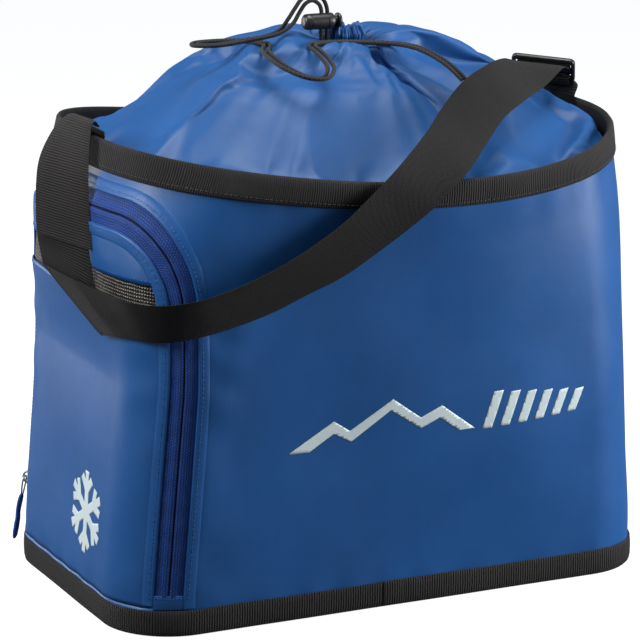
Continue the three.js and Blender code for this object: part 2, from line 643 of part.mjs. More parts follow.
add("adjuster_frame", "plastic", frame.translate(0, 0, -FRAME_THICK / 2), adjuster);

// ---- cord lock: a barrel with a spring-loaded plunger, holding two strands ----
const LOCK = v3(-9, -9, 403);
const STRANDS_AT = 2; // the strands pass this far towards +X from the barrel's middle
const BORE = 3.6;
const lock = new THREE.Group();
lock.position.copy(LOCK);
bag.add(lock);
const strandSlot = (width, length) => {
  const shape = roundedRectangle(new THREE.Shape(), -length / 2, -width / 2, length / 2, width / 2, width / 2 - 0.01);
  return new THREE.ExtrudeGeometry(shape, { depth: 20, bevelEnabled: false, curveSegments: 5 })
    .translate(STRANDS_AT, 0, -10);
};
add("lock_barrel", "plastic", minus(rodX(5.7, -14.5, 8.5, 24), rodX(BORE, -11.5, 12, 16), strandSlot(4.4, 9)), lock);
const plungerStem = rodX(BORE - GAP, -3.8, 12, 16);
add("lock_plunger", "plastic", minus(plus(plungerStem, rodX(5.4, 11.8, 15, 20)), strandSlot(4.6, 9.6)), lock);
const SPRING_PROFILE = [[1.9, -11.2], [2.9, -11.2], [2.9, -4.1], [1.9, -4.1], [1.9, -11.2]];
add("lock_spring", "metal", new THREE.LatheGeometry(
  SPRING_PROFILE.map(([r, x]) => new THREE.Vector2(r, x)), 16,
).rotateZ(-Math.PI / 2), lock);

// ---- drawcord: two strands side by side, out of the hem, up through the lock, then looped on the skirt ----
// Each place is x, y, z and how far the strands have turned from standing in line with the lock, 0, to lying
// side by side on the skirt, 1.
const CORD_ROUTE = [
  [-7, -9, 388.5, 0], [-7, -9, 396, 0], [-7, -9, 403, 0], [-7, -9, 411.5, 0], [-9.5, -9, 417, 0],
  [-16, -9, 420.5, 0], [-23, -9, 418, 0], [-28, -8.5, 411.5, 0.1], [-33, -8, 404, 0.4],
  [-40, -6, 397, 0.8], [-50, -3, 393.5, 1], [-63, 0, 391.5, 1], [-77, 1, 389.5, 1], [-89, 4, 388.5, 1],
  [-97, 13, 388, 1], [-93, 23, 388, 1], [-81, 27, 388, 1], [-66, 25, 388, 1], [-54, 16, 388, 1],
  [-49, 3, 387.8, 1], [-53, -12, 388, 1], [-61, -26, 387.5, 1], [-67, -42, 388, 1], [-69, -58, 385.5, 1],
  [-65, -73, 380.5, 1], [-55, -84, 375.5, 1], [-43, -86, 374.5, 1], [-34, -77, 379, 1], [-31, -62, 384, 1],
  [-30, -46, 388, 1], [-27, -31, 389, 1], [-18, -22, 389, 1], [-5, -20, 389, 1], [10, -22, 388.5, 1],
  [24, -27, 388, 1], [37, -37, 387.5, 1], [46, -51, 386, 1], [53, -66, 381.5, 1], [59, -79, 375, 1],
  [64, -89, 367, 1],
];
function strand(side) {
  return CORD_ROUTE.map(([x, y, z, turned], i) => {
    const [ax, ay, az] = CORD_ROUTE[Math.max(0, i - 1)];
    const [bx, by, bz] = CORD_ROUTE[Math.min(CORD_ROUTE.length - 1, i + 1)];
    const across = v3(bx - ax, by - ay, bz - az).cross(v3(0, turned - 1, turned)).normalize();
    return v3(x, y, z).addScaledVector(across, side * (CORD + 1.6) / 2);
  });
}
add("draw_cord_a", "cord", cordTube(strand(1), CORD, 40));
add("draw_cord_b", "cord", cordTube(strand(-1), CORD, 40));
const KNOT = v3(67, -94.5, 362.5);
add("cord_knot", "cord", new THREE.SphereGeometry(4.2, 12, 8).scale(1, 1, 0.9).translate(...KNOT.toArray()));

export default bag;
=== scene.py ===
"""Looks for the ski boot bag.

Lengths in this file are millimetres unless a name ends in _m; mesh() scales them to metres.
"""

import math

import bmesh
import bpy
import numpy as np
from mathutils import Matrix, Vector
from mathutils.geometry import delaunay_2d_cdt
from mathutils.kdtree import KDTree


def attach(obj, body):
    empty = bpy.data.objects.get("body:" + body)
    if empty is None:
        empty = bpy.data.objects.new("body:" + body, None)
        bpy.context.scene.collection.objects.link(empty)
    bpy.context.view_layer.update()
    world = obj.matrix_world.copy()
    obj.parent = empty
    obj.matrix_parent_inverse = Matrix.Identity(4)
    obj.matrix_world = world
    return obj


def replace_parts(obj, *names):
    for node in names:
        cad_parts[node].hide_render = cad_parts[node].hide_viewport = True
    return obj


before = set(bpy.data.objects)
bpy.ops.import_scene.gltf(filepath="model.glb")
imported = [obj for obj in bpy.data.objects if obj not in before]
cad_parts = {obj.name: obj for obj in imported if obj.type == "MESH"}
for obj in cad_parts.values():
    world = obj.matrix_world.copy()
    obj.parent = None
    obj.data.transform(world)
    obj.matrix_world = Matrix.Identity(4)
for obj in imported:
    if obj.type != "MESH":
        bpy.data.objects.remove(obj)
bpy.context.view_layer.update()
MM = 0.001

# ---- camera ----
TARGET = Vector((-0.0065, -0.0012, 0.1819))
AZIMUTH, ELEVATION, DISTANCE = math.radians(-25.34), math.radians(13.12), 2.184


def add_camera():
    level = math.cos(ELEVATION)
    back = Vector((math.sin(AZIMUTH) * level, -math.cos(AZIMUTH) * level, math.sin(ELEVATION)))
    data = bpy.data.cameras.new("camera")
    data.lens, data.sensor_width = 167.4, 36
    camera = bpy.data.objects.new("camera", data)
    camera.location = TARGET + DISTANCE * back
    camera.rotation_euler = back.to_track_quat("Z", "Y").to_euler()
    bpy.context.collection.objects.link(camera)
    bpy.context.scene.camera = camera


add_camera()


# ---- small maths ----
def unit(a):
    return a / np.maximum(np.linalg.norm(a, axis=-1, keepdims=True), 1e-12)


def ramp(a, b, t):
    return np.clip((np.asarray(t, float) - a) / (b - a), 0, 1)


def smooth(a, b, t):
    x = ramp(a, b, t)
    return x * x * (3 - 2 * x)


def lerp(a, b, t):
    return a + (b - a) * t


def ripple(x, y, seed):
    """Smooth noise, mostly in -1..1, with features about 1 unit across."""
    rng = np.random.default_rng(seed)
    total, count = 0, 7
    for _ in range(count):
        a, k, p = rng.uniform(0, 2 * math.pi), rng.uniform(0.5, 1.3) * math.pi, rng.uniform(0, 2 * math.pi)
        total = total + np.sin(k * (x * math.cos(a) + y * math.sin(a)) + p)
    return total / math.sqrt(count)


def catmull(points, t):
    """A centripetal Catmull-Rom curve through points, at t from 0 to 1."""
    p = np.asarray(points, float)
    p = np.vstack([2 * p[0] - p[1], p, 2 * p[-1] - p[-2]])
    n = len(points)
    x = np.clip(np.asarray(t, float), 0, 1) * (n - 1)
    i = np.minimum(x.astype(int), n - 2)
    w = (x - i)[:, None]
    p0, p1, p2, p3 = p[i], p[i + 1], p[i + 2], p[i + 3]
    d0 = np.linalg.norm(p1 - p0, axis=1, keepdims=True) ** 0.5
    d1 = np.linalg.norm(p2 - p1, axis=1, keepdims=True) ** 0.5
    d2 = np.linalg.norm(p3 - p2, axis=1, keepdims=True) ** 0.5
    t1 = ((p1 - p0) / d0 - (p2 - p0) / (d0 + d1) + (p2 - p1) / d1) * d1
    t2 = ((p2 - p1) / d1 - (p3 - p1) / (d1 + d2) + (p3 - p2) / d2) * d1
    return p1 + t1 * w + (-3 * p1 + 3 * p2 - 2 * t1 - t2) * w**2 + (2 * p1 - 2 * p2 + t1 + t2) * w**3


# ---- the bag's wall: u runs round the base outline from the middle of the zipped end, v is the height ----
HALF_LENGTH, HALF_DEPTH, CORNER, TOP = 208.0, 125.0, 51.0, 333.0
RIM_LEFT, RIM_RIGHT, RIM_DEPTH, POWER = 190.0, 206.0, 147.0, 2.75
FLAT = HALF_DEPTH - CORNER
ARC = math.pi * CORNER / 2
LONG = 2 * (HALF_LENGTH - CORNER)
HALF_ROUND = 2 * FLAT + 2 * ARC + LONG
BINDING = 19.0


def base_point(u):
    u = (np.asarray(u, float) + HALF_ROUND) % (2 * HALF_ROUND) - HALF_ROUND
    side = np.where(u >= 0, -1.0, 1.0)
    s = np.abs(u)
    c = HALF_LENGTH - CORNER
    a1 = np.clip((s - FLAT) / CORNER, 0, math.pi / 2)
    s2 = s - FLAT - ARC
    a2 = np.clip((s2 - LONG) / CORNER, 0, math.pi / 2)
    s3 = np.maximum(s2 - LONG - ARC, 0)
    x = -c - CORNER * np.cos(a1) + np.clip(s2, 0, LONG) + CORNER * np.sin(a2)
    y = np.minimum(s, FLAT) + CORNER * np.sin(a1) - CORNER * (1 - np.cos(a2)) - s3
    return x, side * y


def wall(u, v):
    u, v = np.broadcast_arrays(np.asarray(u, float), np.asarray(v, float))
    px, py = base_point(u)
    ux, uy = px / HALF_LENGTH, py / HALF_DEPTH
    angle = np.arctan2(uy, ux)
    c, s = np.cos(angle), np.sin(angle)
    reach = (np.abs(c) ** POWER + np.abs(s) ** POWER) ** (-1 / POWER)
    lean = 12 * ramp(30, 175, v) - 9 * smooth(175, 262, v)
    left = HALF_LENGTH - lean - (HALF_LENGTH - 3 - RIM_LEFT) * smooth(275, TOP, v)
    up = v / TOP
    to_right = smooth(-60, 60, px)
    a = lerp(left, lerp(HALF_LENGTH, RIM_RIGHT, up), to_right)
    high = ramp(175, TOP, v)
    left_depth = HALF_DEPTH + 0.046 * v + (RIM_DEPTH - HALF_DEPTH - 0.046 * TOP) * high**1.4
    right_depth = HALF_DEPTH + (RIM_DEPTH - HALF_DEPTH) * np.maximum(up, 0) ** 1.5
    b = lerp(left_depth, right_depth, to_right)
    round_ = lerp(high**1.3, up * up, to_right)
    x = a * lerp(ux, reach * c, round_)
    y = b * lerp(uy, reach * s, round_)
    n = x / a
    dip = 22 * (1 - n * n) + 8.5 * n * (1 - n * n)
    return np.stack([x, y, up * (TOP - dip - 1.5 * n + 4 * y / b)], -1)


def wall_normal(u, v):
    e = 0.6
    du = wall(u + e, v) - wall(u - e, v)
    dv = wall(u, np.minimum(v + e, TOP)) - wall(u, np.maximum(v - e, 0))
    return unit(np.cross(du, dv))


# The U of the zip: distance outside its centre line.
DOOR_MIDDLE, DOOR_HALF, DOOR_TOP, DOOR_CORNER, ZIP_HALF = 7.5, 124.5, 291.4, 62.0, 10.6
LEG = DOOR_TOP - DOOR_CORNER
BEND = math.pi / 2 * DOOR_CORNER
CROWN = 2 * (DOOR_HALF - DOOR_CORNER)
ZIP_LENGTH = 2 * (LEG + BEND) + CROWN
FOOT = 20.5
HEM_END = ZIP_HALF + 8.5


def outside_zip(u, v):
    qx, qy = np.abs(u - DOOR_MIDDLE) - (DOOR_HALF - DOOR_CORNER), v - LEG
    return np.where((qx > 0) & (qy > 0), np.hypot(qx, qy), np.maximum(qx, qy)) - DOOR_CORNER


def zip_place(s, w):
    """The place in the wall, s along the U from the slider's leg and w outside its centre line."""
    s, w = np.broadcast_arrays(np.asarray(s, float), np.asarray(w, float))
    back, front = DOOR_MIDDLE - DOOR_HALF, DOOR_MIDDLE + DOOR_HALF
    a1 = np.clip((s - LEG) / DOOR_CORNER, 0, math.pi / 2)
    a2 = np.clip((s - LEG - BEND - CROWN) / DOOR_CORNER, 0, math.pi / 2)
    r = DOOR_CORNER + w
    u = back - w + r * (1 - np.cos(a1)) + np.clip(s - LEG - BEND, 0, CROWN) + r * np.sin(a2)
    u = np.where(s > LEG + BEND + CROWN, front - DOOR_CORNER + r * np.sin(a2), u)
    v = np.minimum(s, LEG) + r * np.sin(a1) - r * (1 - np.cos(a2))
    v = v - np.maximum(s - 2 * BEND - CROWN - LEG, 0)
    return u, v


def relief(u, v):
    """How far the cloth of the wall stands out from its plain surface: slack, pulls and seam puckers."""
    u, v = np.broadcast_arrays(np.asarray(u, float), np.asarray(v, float))
    d = outside_zip(u, v)
    out = 1.3 * ripple(u / 95, v / 120, 11) * smooth(12, 90, v) * (1 - 0.8 * smooth(285, 325, v))
    out = out + 0.5 * ripple((u + 0.5 * v) / 42, (v - 0.3 * u) / 70, 12) * smooth(30, 120, v)
    from_zip = np.abs(d)
    near = smooth(HEM_END - 3, HEM_END + 5, from_zip) * (1 - smooth(HEM_END + 8, HEM_END + 34, from_zip))
    out = out + 0.55 * near * np.sin(v / 8.5 + 2.3 * np.sin(v / 31) + u / 60)
    under_rim = np.exp(-(((TOP - BINDING - v) / 16.0).clip(0)) ** 1.2) * (v < TOP - 4)
    out = out + 0.4 * under_rim * np.sin(u / 6.5 + 2 * np.sin(u / 37))
    over_base = np.exp(-(((v - BINDING) / 12.0).clip(0)) ** 1.2)
    out = out + 0.4 * over_base * np.sin(u / 6.0 + 2 * np.sin(u / 43))
    # a soft sag of the front, hollow in the middle, and the slack over the front left corner
    out = out - 2.2 * np.exp(-((u - 330) / 110) ** 2 - ((v - 190) / 90) ** 2)
    slack = np.exp(-((u - 170 - 0.25 * (v - 200)) / 16) ** 2)
    return out + 1.6 * slack * smooth(60, 150, v) * (1 - smooth(230, 300, v))


def skin(u, v, out=0.0):
    """Points on the wall's cloth, out from its surface."""
    u, v = np.broadcast_arrays(np.asarray(u, float), np.asarray(v, float))
    n = wall_normal(u, v)
    return wall(u, v) + n * (relief(u, v) + out)[..., None]


# ---- meshes ----
def mesh(name, points, faces, material, body, uv=None):
    """A mesh object from points in mm, in any array shape. uv gives one pair per point, in mm of cloth."""
    data = bpy.data.meshes.new(name)
    data.from_pydata((np.asarray(points, float).reshape(-1, 3) * MM).tolist(), [], faces)
    data.validate()
    if uv is not None:
        layer = data.uv_layers.new(name="cloth")
        loops = np.empty(len(data.loops), int)
        data.loops.foreach_get("vertex_index", loops)
        layer.data.foreach_set("uv", (np.asarray(uv, float).reshape(-1, 2) * MM)[loops].ravel())
    data.materials.append(material)
    data.polygons.foreach_set("use_smooth", [True] * len(data.polygons))
    obj = bpy.data.objects.new(name, data)
    bpy.context.collection.objects.link(obj)
    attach(obj, body)
    return obj


def grid_faces(nu, nv, wrap_u=False, wrap_v=False):
    """Faces of a grid of points stored as [i * nv + j]."""
    faces = []
    for i in range(nu if wrap_u else nu - 1):
        for j in range(nv if wrap_v else nv - 1):
            a, b = i * nv + j, ((i + 1) % nu) * nv + j
            c, d = ((i + 1) % nu) * nv + (j + 1) % nv, i * nv + (j + 1) % nv
            faces.append((a, b, c, d))
    return faces


def end_caps(n, m):
    """The two end faces of n sections with m points each."""
    return [tuple(range(m - 1, -1, -1)), tuple((n - 1) * m + k for k in range(m))]


def pairs(a, b):
    """Two arrays side by side, stretched to one shape."""
    return np.stack(np.broadcast_arrays(a, b), -1)


def lengths(points):
    """The distance along a row of points, from 0."""
    return np.concatenate([[0], np.cumsum(np.linalg.norm(np.diff(points, axis=0), axis=1))])


def thicken(obj, thickness, offset=-1.0):
    m = obj.modifiers.new("thickness", "SOLIDIFY")
    m.thickness, m.offset = thickness * MM, offset
    return obj


def sweep_closed(name, centre, across, up, section, material, body):
    """Sweeps a closed section of (across, up) pairs round a closed row of centre points with unit frames."""
    x, y = (section[None, :, k, None] for k in (0, 1))
    pts = centre[:, None] + across[:, None] * x + up[:, None] * y
    faces = grid_faces(len(centre), len(section), wrap_u=True, wrap_v=True)
    return mesh(name, pts, faces, material, body, pairs(section[:, 0], lengths(centre)[:, None]))


def band_section(half, thick, count=10):
    """A flat band's closed section with rounded edges."""
    s = np.linspace(-1, 1, count)
    edge = (thick / 2) * np.clip(1 - np.abs(s) ** 10, 0, 1) ** 0.5
    edge = np.maximum(edge, thick * 0.12)
    return [(half * a, e) for a, e in zip(s, edge)] + [(half * a, -e) for a, e in zip(s[::-1], edge[::-1])]


def smooth_normals_off(obj, degrees):
    """Shades edges sharper than that many degrees as creases."""
    obj.data.set_sharp_from_angle(angle=math.radians(degrees))
    return obj


# ---- materials ----
class Graph:
    """A Principled material and short ways to build its node tree."""

    def __init__(self, name, color, roughness=0.6, **sockets):
        self.material = bpy.data.materials.new(name)
        self.material.use_nodes = True
        self.tree = self.material.node_tree
        self.shader = self.tree.nodes["Principled BSDF"]
        self.color = (*color, 1)
        self.set(self.shader, "Base Color", self.color)
        self.set(self.shader, "Roughness", roughness)
        for key, value in sockets.items():
            self.set(self.shader, key.replace("_", " "), value)

    def set(self, node, key, value):
        if isinstance(value, bpy.types.NodeSocket):
            self.tree.links.new(value, node.inputs[key])
        else:
            node.inputs[key].default_value = value

    def node(self, kind, props=(), **inputs):
        n = self.tree.nodes.new(kind)
        for key, value in dict(props).items():
            setattr(n, key, value)
        for key, value in inputs.items():
            self.set(n, int(key[1:]) if key[0] == "i" and key[1:].isdigit() else key.replace("_", " "), value)
        return n

    def math(self, op, a, b=0.0, c=0.0):
        return self.node("ShaderNodeMath", {"operation": op}, i0=a, i1=b, i2=c).outputs[0]

    def times(self, a, b):
        return self.math("MULTIPLY", a, b)

    def plus(self, a, b):
        return self.math("ADD", a, b)

    def above(self, a, b):
        """1 where a is above b, else 0."""
        return self.math("GREATER_THAN", a, b)

    def uv(self):
        coords = self.node("ShaderNodeTexCoord").outputs["UV"]
        split = self.node("ShaderNodeSeparateXYZ", Vector=coords)
        return split.outputs["X"], split.outputs["Y"]

    def noise(self, size_m, detail=3.0, rough=0.55, stretch=(1, 1, 1)):
        coords = self.node("ShaderNodeTexCoord").outputs["Object"]
        mapped = self.node("ShaderNodeMapping", Vector=coords, Scale=stretch).outputs[0]
        tex = self.node("ShaderNodeTexNoise", Vector=mapped, Scale=1 / size_m, Detail=detail, Roughness=rough)
        return tex.outputs["Fac"]

    def wave(self, x, period_m, phase=0.0):
        """A sine of x with that period, 0 to 1."""
        s = self.math("SINE", self.plus(self.times(x, 2 * math.pi / period_m), phase))
        return self.math("MULTIPLY_ADD", s, 0.5, 0.5)

    def ramp(self, value, stops):
        n = self.node("ShaderNodeValToRGB", Fac=value)
        elements = n.color_ramp.elements
        while len(elements) < len(stops):
            elements.new(0.5)
        for e, (at, c) in zip(elements, stops):
            e.position, e.color = at, (*c[:3], 1)
        return n.outputs[0]

    def mix(self, factor, a, b, blend="MIX"):
        n = self.node("ShaderNodeMix", {"data_type": "RGBA", "blend_type": blend})
        self.set(n, 0, factor)
        self.set(n, 6, a)
        self.set(n, 7, b)
        return n.outputs[2]

    def bump(self, height, depth_m, strength=1.0, under=None):
        n = self.node("ShaderNodeBump", Height=height, Distance=depth_m, Strength=strength)
        if under is not None:
            self.set(n, "Normal", under)
        return n.outputs[0]

    def finish(self, color, normal=None, roughness=None):
        self.set(self.shader, "Base Color", color)
        if normal is not None:
            self.set(self.shader, "Normal", normal)
        if roughness is not None:
            self.set(self.shader, "Roughness", roughness)
        return self.material


def scaled(color, k):
    return tuple(min(1.0, c * k) for c in color) + (1,)


def coated_cloth(name, color, roughness, crease=0.0006):
    """Smooth coated cloth: fine weave under the coating, faint creases and a slightly uneven gloss."""
    g = Graph(name, color, roughness, Specular_IOR_Level=0.36)
    u, v = g.uv()
    weave = g.times(g.wave(u, 0.0007), g.wave(v, 0.0007))
    threads = [g.above(g.wave(x, 0.0056), 0.985) for x in (u, v)]
    ripstop = g.math("MAXIMUM", *threads)
    fine = g.plus(weave, g.times(ripstop, 0.25))
    normal = g.bump(g.noise(0.045, 4, 0.5), crease, 0.7)
    normal = g.bump(g.noise(0.012, 3, 0.6, (1, 1, 0.5)), crease * 0.22, 0.6, normal)
    normal = g.bump(fine, 0.00006, 0.5, normal)
    tone = g.ramp(g.noise(0.07, 4, 0.6), [(0.3, scaled(color, 0.9)), (0.7, scaled(color, 1.1))])
    tone = g.mix(g.times(weave, 0.16), tone, scaled(color, 0.72))
    scuff = g.above(g.noise(0.006, 5, 0.75, (1, 1, 0.35)), 0.72)
    tone = g.mix(g.times(scuff, 0.06), tone, (0.35, 0.45, 0.6, 1))
    rough = g.math("MULTIPLY_ADD", g.noise(0.03, 3), 0.14, roughness - 0.07)
    return g.finish(tone, normal, rough)


def ribbed(name, rib_m, color=(0.0135, 0.0125, 0.0128), depth=0.0009, fine_from_m=None):
    """Black webbing or binding tape: ribs across the length, made of paired yarns.

    Past fine_from_m along it the ribs give way to a finer twill.
    """
    g = Graph(name, color, 0.78, Specular_IOR_Level=0.22, Sheen_Weight=0.06, Sheen_Roughness=0.3)
    u, v = g.uv()
    wobble = g.times(g.noise(0.004, 2), rib_m * 0.5)
    along = g.plus(v, wobble)
    rib = g.math("ABSOLUTE", g.math("SINE", g.times(along, math.pi / rib_m)))
    yarn = g.wave(g.plus(u, g.times(along, 0.5)), rib_m * 0.62)
    coarse = g.math("MULTIPLY_ADD", yarn, 0.25, g.times(rib, 0.75))
    height = coarse
    if fine_from_m is not None:
        step = rib_m * 0.62
        twill = g.wave(g.plus(u, along), step)
        cross = g.wave(g.math("SUBTRACT", along, g.times(u, 0.15)), step)
        fine = g.math("MULTIPLY_ADD", twill, 0.45, g.times(cross, 0.35))
        change = g.above(v, fine_from_m)
        mixer = g.node("ShaderNodeMix", {"data_type": "FLOAT"})
        g.set(mixer, 0, change)
        g.set(mixer, 2, coarse)
        g.set(mixer, 3, fine)
        height = mixer.outputs[0]
    fluff = g.noise(0.0009, 4, 0.7)
    # The tone follows the rib height: painted shade in the grooves between ribs, painted highlight on the rib
    # tops.
    tone = g.ramp(height, [(at, scaled(color, k)) for at, k in ((0.1, 0.3), (0.5, 0.9), (1.0, 3.4))])
    tone = g.mix(g.times(g.above(fluff, 0.66), 0.3), tone, scaled(color, 3.2))
    worn = g.ramp(g.noise(0.05, 3), [(0.35, (0.75, 0.75, 0.75)), (0.75, (1.15, 1.13, 1.12))])
    tone = g.mix(0.8, tone, worn, "MULTIPLY")
    normal = g.bump(g.noise(0.02, 2), 0.0006, 0.3)
    normal = g.bump(height, depth, 0.9, normal)
    normal = g.bump(fluff, 0.00008, 0.6, normal)
    return g.finish(tone, normal)


def zip_cloth(name, color):
    """Zip tape from its flat side: a coarse knit with painted shade and highlight, sewn rows and a painted
    shade line where its edges meet.
    """
    g = Graph(name, color, 0.66, Specular_IOR_Level=0.25, Sheen_Weight=0.05, Sheen_Roughness=0.4)
    u, v = g.uv()
    away = g.math("ABSOLUTE", u)
    jitter = g.times(g.noise(0.0016, 2), 0.0011)
    slant = g.plus(g.plus(v, g.times(away, 0.7)), jitter)
    knit = g.times(g.wave(slant, 0.0021), g.wave(g.plus(away, jitter), 0.0017))
    rows = 0.0
    for at in (0.0016, 0.0031, 0.0052):
        row = g.math("LESS_THAN", g.math("ABSOLUTE", g.math("SUBTRACT", away, at)), 0.00032)
        dash = g.above(g.wave(v, 0.0019, at * 2000), 0.35)
        rows = g.math("MAXIMUM", rows, g.times(row, dash))
    # Painted shade: a dark line along the meeting edges, for the gap between the two halves.
    meet = g.math("LESS_THAN", away, 0.00045)
    # The knit's tone follows its height: painted shade in its hollows, painted highlight on its loops.
    tone = g.ramp(knit, [(0.08, scaled(color, 0.5)), (0.7, scaled(color, 1.6))])
    tone = g.mix(g.times(rows, 0.35), tone, scaled(color, 1.5))
    tone = g.mix(meet, tone, (0.012, 0.008, 0.035, 1))
    height = g.plus(g.times(knit, 0.5), g.times(rows, 0.9))
    return g.finish(tone, g.bump(height, 0.00035, 0.9))


def vent_cloth(name):
    """Open black mesh, drawn opaque: painted glints where its yarns cross, and painted shade in its holes for
    the dark inside seen through them.
    """
    g = Graph(name, (0.012, 0.012, 0.013), 0.5, Specular_IOR_Level=0.4)
    u, v = g.uv()
    drift = g.times(g.noise(0.012, 2), 0.0016)
    bars_u = g.wave(g.plus(u, drift), 0.0021)
    bars_v = g.wave(g.plus(v, drift), 0.0024)
    net = g.math("MAXIMUM", bars_u, bars_v)
    crossing = g.times(bars_u, bars_v)
    glints = g.times(g.noise(0.0035, 3, 0.7), 0.9)
    # Painted highlight: beige glints at some of the yarn crossings.
    lit = g.above(g.plus(crossing, glints), 1.12)
    # Painted shade: the holes are darker than the yarns, for the shaded inside of the bag seen through the
    # open mesh.
    tone = g.ramp(net, [(0.45, (0.003, 0.003, 0.004)), (0.95, (0.022, 0.021, 0.022))])
    tone = g.mix(g.times(lit, 0.85), tone, (0.5, 0.42, 0.34, 1))
    return g.finish(tone, g.bump(net, 0.0006, 1.0))


def moulded(name):
    """Black moulded plastic, worn unevenly."""
    color, roughness = (0.012, 0.012, 0.013), 0.36
    g = Graph(name, color, roughness, Specular_IOR_Level=0.5)
    grain = g.noise(0.0009, 3, 0.6)
    wear = g.math("MULTIPLY_ADD", g.noise(0.01, 4), 0.2, roughness - 0.1)
    tone = g.ramp(g.noise(0.006, 3), [(0.3, scaled(color, 0.8)), (0.75, scaled(color, 1.6))])
    return g.finish(tone, g.bump(grain, 0.00006, 0.5), wear)


def metal(name, color=(0.42, 0.42, 0.43)):
    g = Graph(name, color, 0.3, Metallic=1.0)
    streak = g.noise(0.0012, 4, 0.7, (1, 1, 0.15))
    tone = g.ramp(streak, [(0.3, scaled(color, 0.7)), (0.7, color)])
    return g.finish(tone, g.bump(streak, 0.00003, 0.5), g.math("MULTIPLY_ADD", streak, 0.25, 0.2))


def braid(name, color, length_m):
    """Braided cord: two sets of yarns crossing round the cord. The curve's own UV runs 0 to 1 along it."""
    around, pitch_m = 6.0, 0.0024
    g = Graph(name, color, 0.7, Specular_IOR_Level=0.3, Sheen_Weight=0.08, Sheen_Roughness=0.4)
    coords = g.node("ShaderNodeTexCoord").outputs["UV"]
    split = g.node("ShaderNodeSeparateXYZ", Vector=coords)
    along = g.times(split.outputs["X"], length_m / pitch_m)
    turn = g.times(split.outputs["Y"], around / 2)
    one = g.wave(g.plus(along, turn), 1.0)
    two = g.wave(g.math("SUBTRACT", along, turn), 1.0)
    height = g.math("MAXIMUM", one, two)
    # The tone follows the braid's height: painted shade in the hollows between yarns, painted highlight on
    # their crowns.
    tone = g.ramp(height, [(0.35, scaled(color, 0.35)), (0.8, color), (1.0, scaled(color, 2.2))])
    return g.finish(tone, g.bump(height, 0.00035, 0.9))


def print_film(name):
    color = (0.60, 0.70, 0.72)
    g = Graph(name, color, 0.42, Specular_IOR_Level=0.5)
    tone = g.ramp(g.noise(0.02, 4), [(0.3, scaled(color, 0.94)), (0.7, scaled(color, 1.04))])
    return g.finish(tone, g.bump(g.noise(0.0015, 3), 0.00005, 0.6))


BLUE = (0.0105, 0.082, 0.275)
wall_cloth = coated_cloth("wall_cloth", BLUE, 0.40)
skirt_cloth = coated_cloth("skirt_cloth", (0.013, 0.082, 0.262), 0.46, 0.0009)
zip_blue = zip_cloth("zip_cloth", (0.008, 0.047, 0.235))
vent_net = vent_cloth("vent_net")
binding_tape = ribbed("binding_tape", 0.0019)
strap_cloth = ribbed("strap_cloth", 0.0019, depth=0.0006, fine_from_m=0.168)
tab_cloth = ribbed("tab_cloth", 0.0019, depth=0.0006)
plastic = moulded("moulded_plastic")
steel = metal("dark_steel")
bright_steel = metal("bright_steel", (0.6, 0.6, 0.6))
film = print_film("print_film")
thread_blue = coated_cloth("thread_blue", (0.02, 0.11, 0.38), 0.6)
thread_black = ribbed("thread_black", 0.0006, (0.03, 0.03, 0.03))
lining = coated_cloth("lining", (0.02, 0.022, 0.028), 0.6)

# ---- draw cords, on the same route as their solids ----
CORD, CORD_GAP = 3.0, 1.6
CORD_ROUTE = [
    (-7, -9, 388.5, 0), (-7, -9, 396, 0), (-7, -9, 403, 0), (-7, -9, 411.5, 0), (-9.5, -9, 417, 0),
    (-16, -9, 420.5, 0), (-23, -9, 418, 0), (-28, -8.5, 411.5, 0.1), (-33, -8, 404, 0.4),
    (-40, -6, 397, 0.8), (-50, -3, 393.5, 1), (-63, 0, 391.5, 1), (-77, 1, 389.5, 1), (-89, 4, 388.5, 1),
    (-97, 13, 388, 1), (-93, 23, 388, 1), (-81, 27, 388, 1), (-66, 25, 388, 1), (-54, 16, 388, 1),
    (-49, 3, 387.8, 1), (-53, -12, 388, 1), (-61, -26, 387.5, 1), (-67, -42, 388, 1), (-69, -58, 385.5, 1),
    (-65, -73, 380.5, 1), (-55, -84, 375.5, 1), (-43, -86, 374.5, 1), (-34, -77, 379, 1), (-31, -62, 384, 1),
    (-30, -46, 388, 1), (-27, -31, 389, 1), (-18, -22, 389, 1), (-5, -20, 389, 1), (10, -22, 388.5, 1),
    (24, -27, 388, 1), (37, -37, 387.5, 1), (46, -51, 386, 1), (53, -66, 381.5, 1), (59, -79, 375, 1),
    (64, -89, 367, 1),
]


def strand(side):
    route = np.asarray(CORD_ROUTE, float)
    p, turned = route[:, :3], route[:, 3]
    ahead = np.vstack([p[1:], p[-1:]]) - np.vstack([p[:1], p[:-1]])
    across = unit(np.cross(ahead, np.stack([0 * turned, turned - 1, turned], -1)))
    return p + across * side * (CORD + CORD_GAP) / 2


def curve_object(name, points, diameter, material, body, count):
    data = bpy.data.curves.new(name, "CURVE")
    data.dimensions, data.bevel_depth, data.bevel_resolution = "3D", diameter / 2 * MM, 4
    data.use_fill_caps = True
    pts = catmull(points, np.linspace(0, 1, count))
    spline = data.splines.new("POLY")
    spline.points.add(len(pts) - 1)
    for q, p in zip(spline.points, pts * MM):
        q.co = (*p, 1)
    spline.use_smooth = True
    data.materials.append(material)
    obj = bpy.data.objects.new(name, data)
    bpy.context.collection.objects.link(obj)
    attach(obj, body)
    return obj, float(np.linalg.norm(np.diff(pts, axis=0), axis=1).sum())


cord_cloth = braid("cord_cloth", (0.014, 0.013, 0.014), 0.48)
knot_cord = ribbed("knot_cord", 0.0012)
for side, letter in ((1, "a"), (-1, "b")):
    route = strand(side)
    obj, length = curve_object(f"draw_cord_{letter}_look", route, CORD, cord_cloth, "bag", 320)
    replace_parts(obj, f"draw_cord_{letter}")


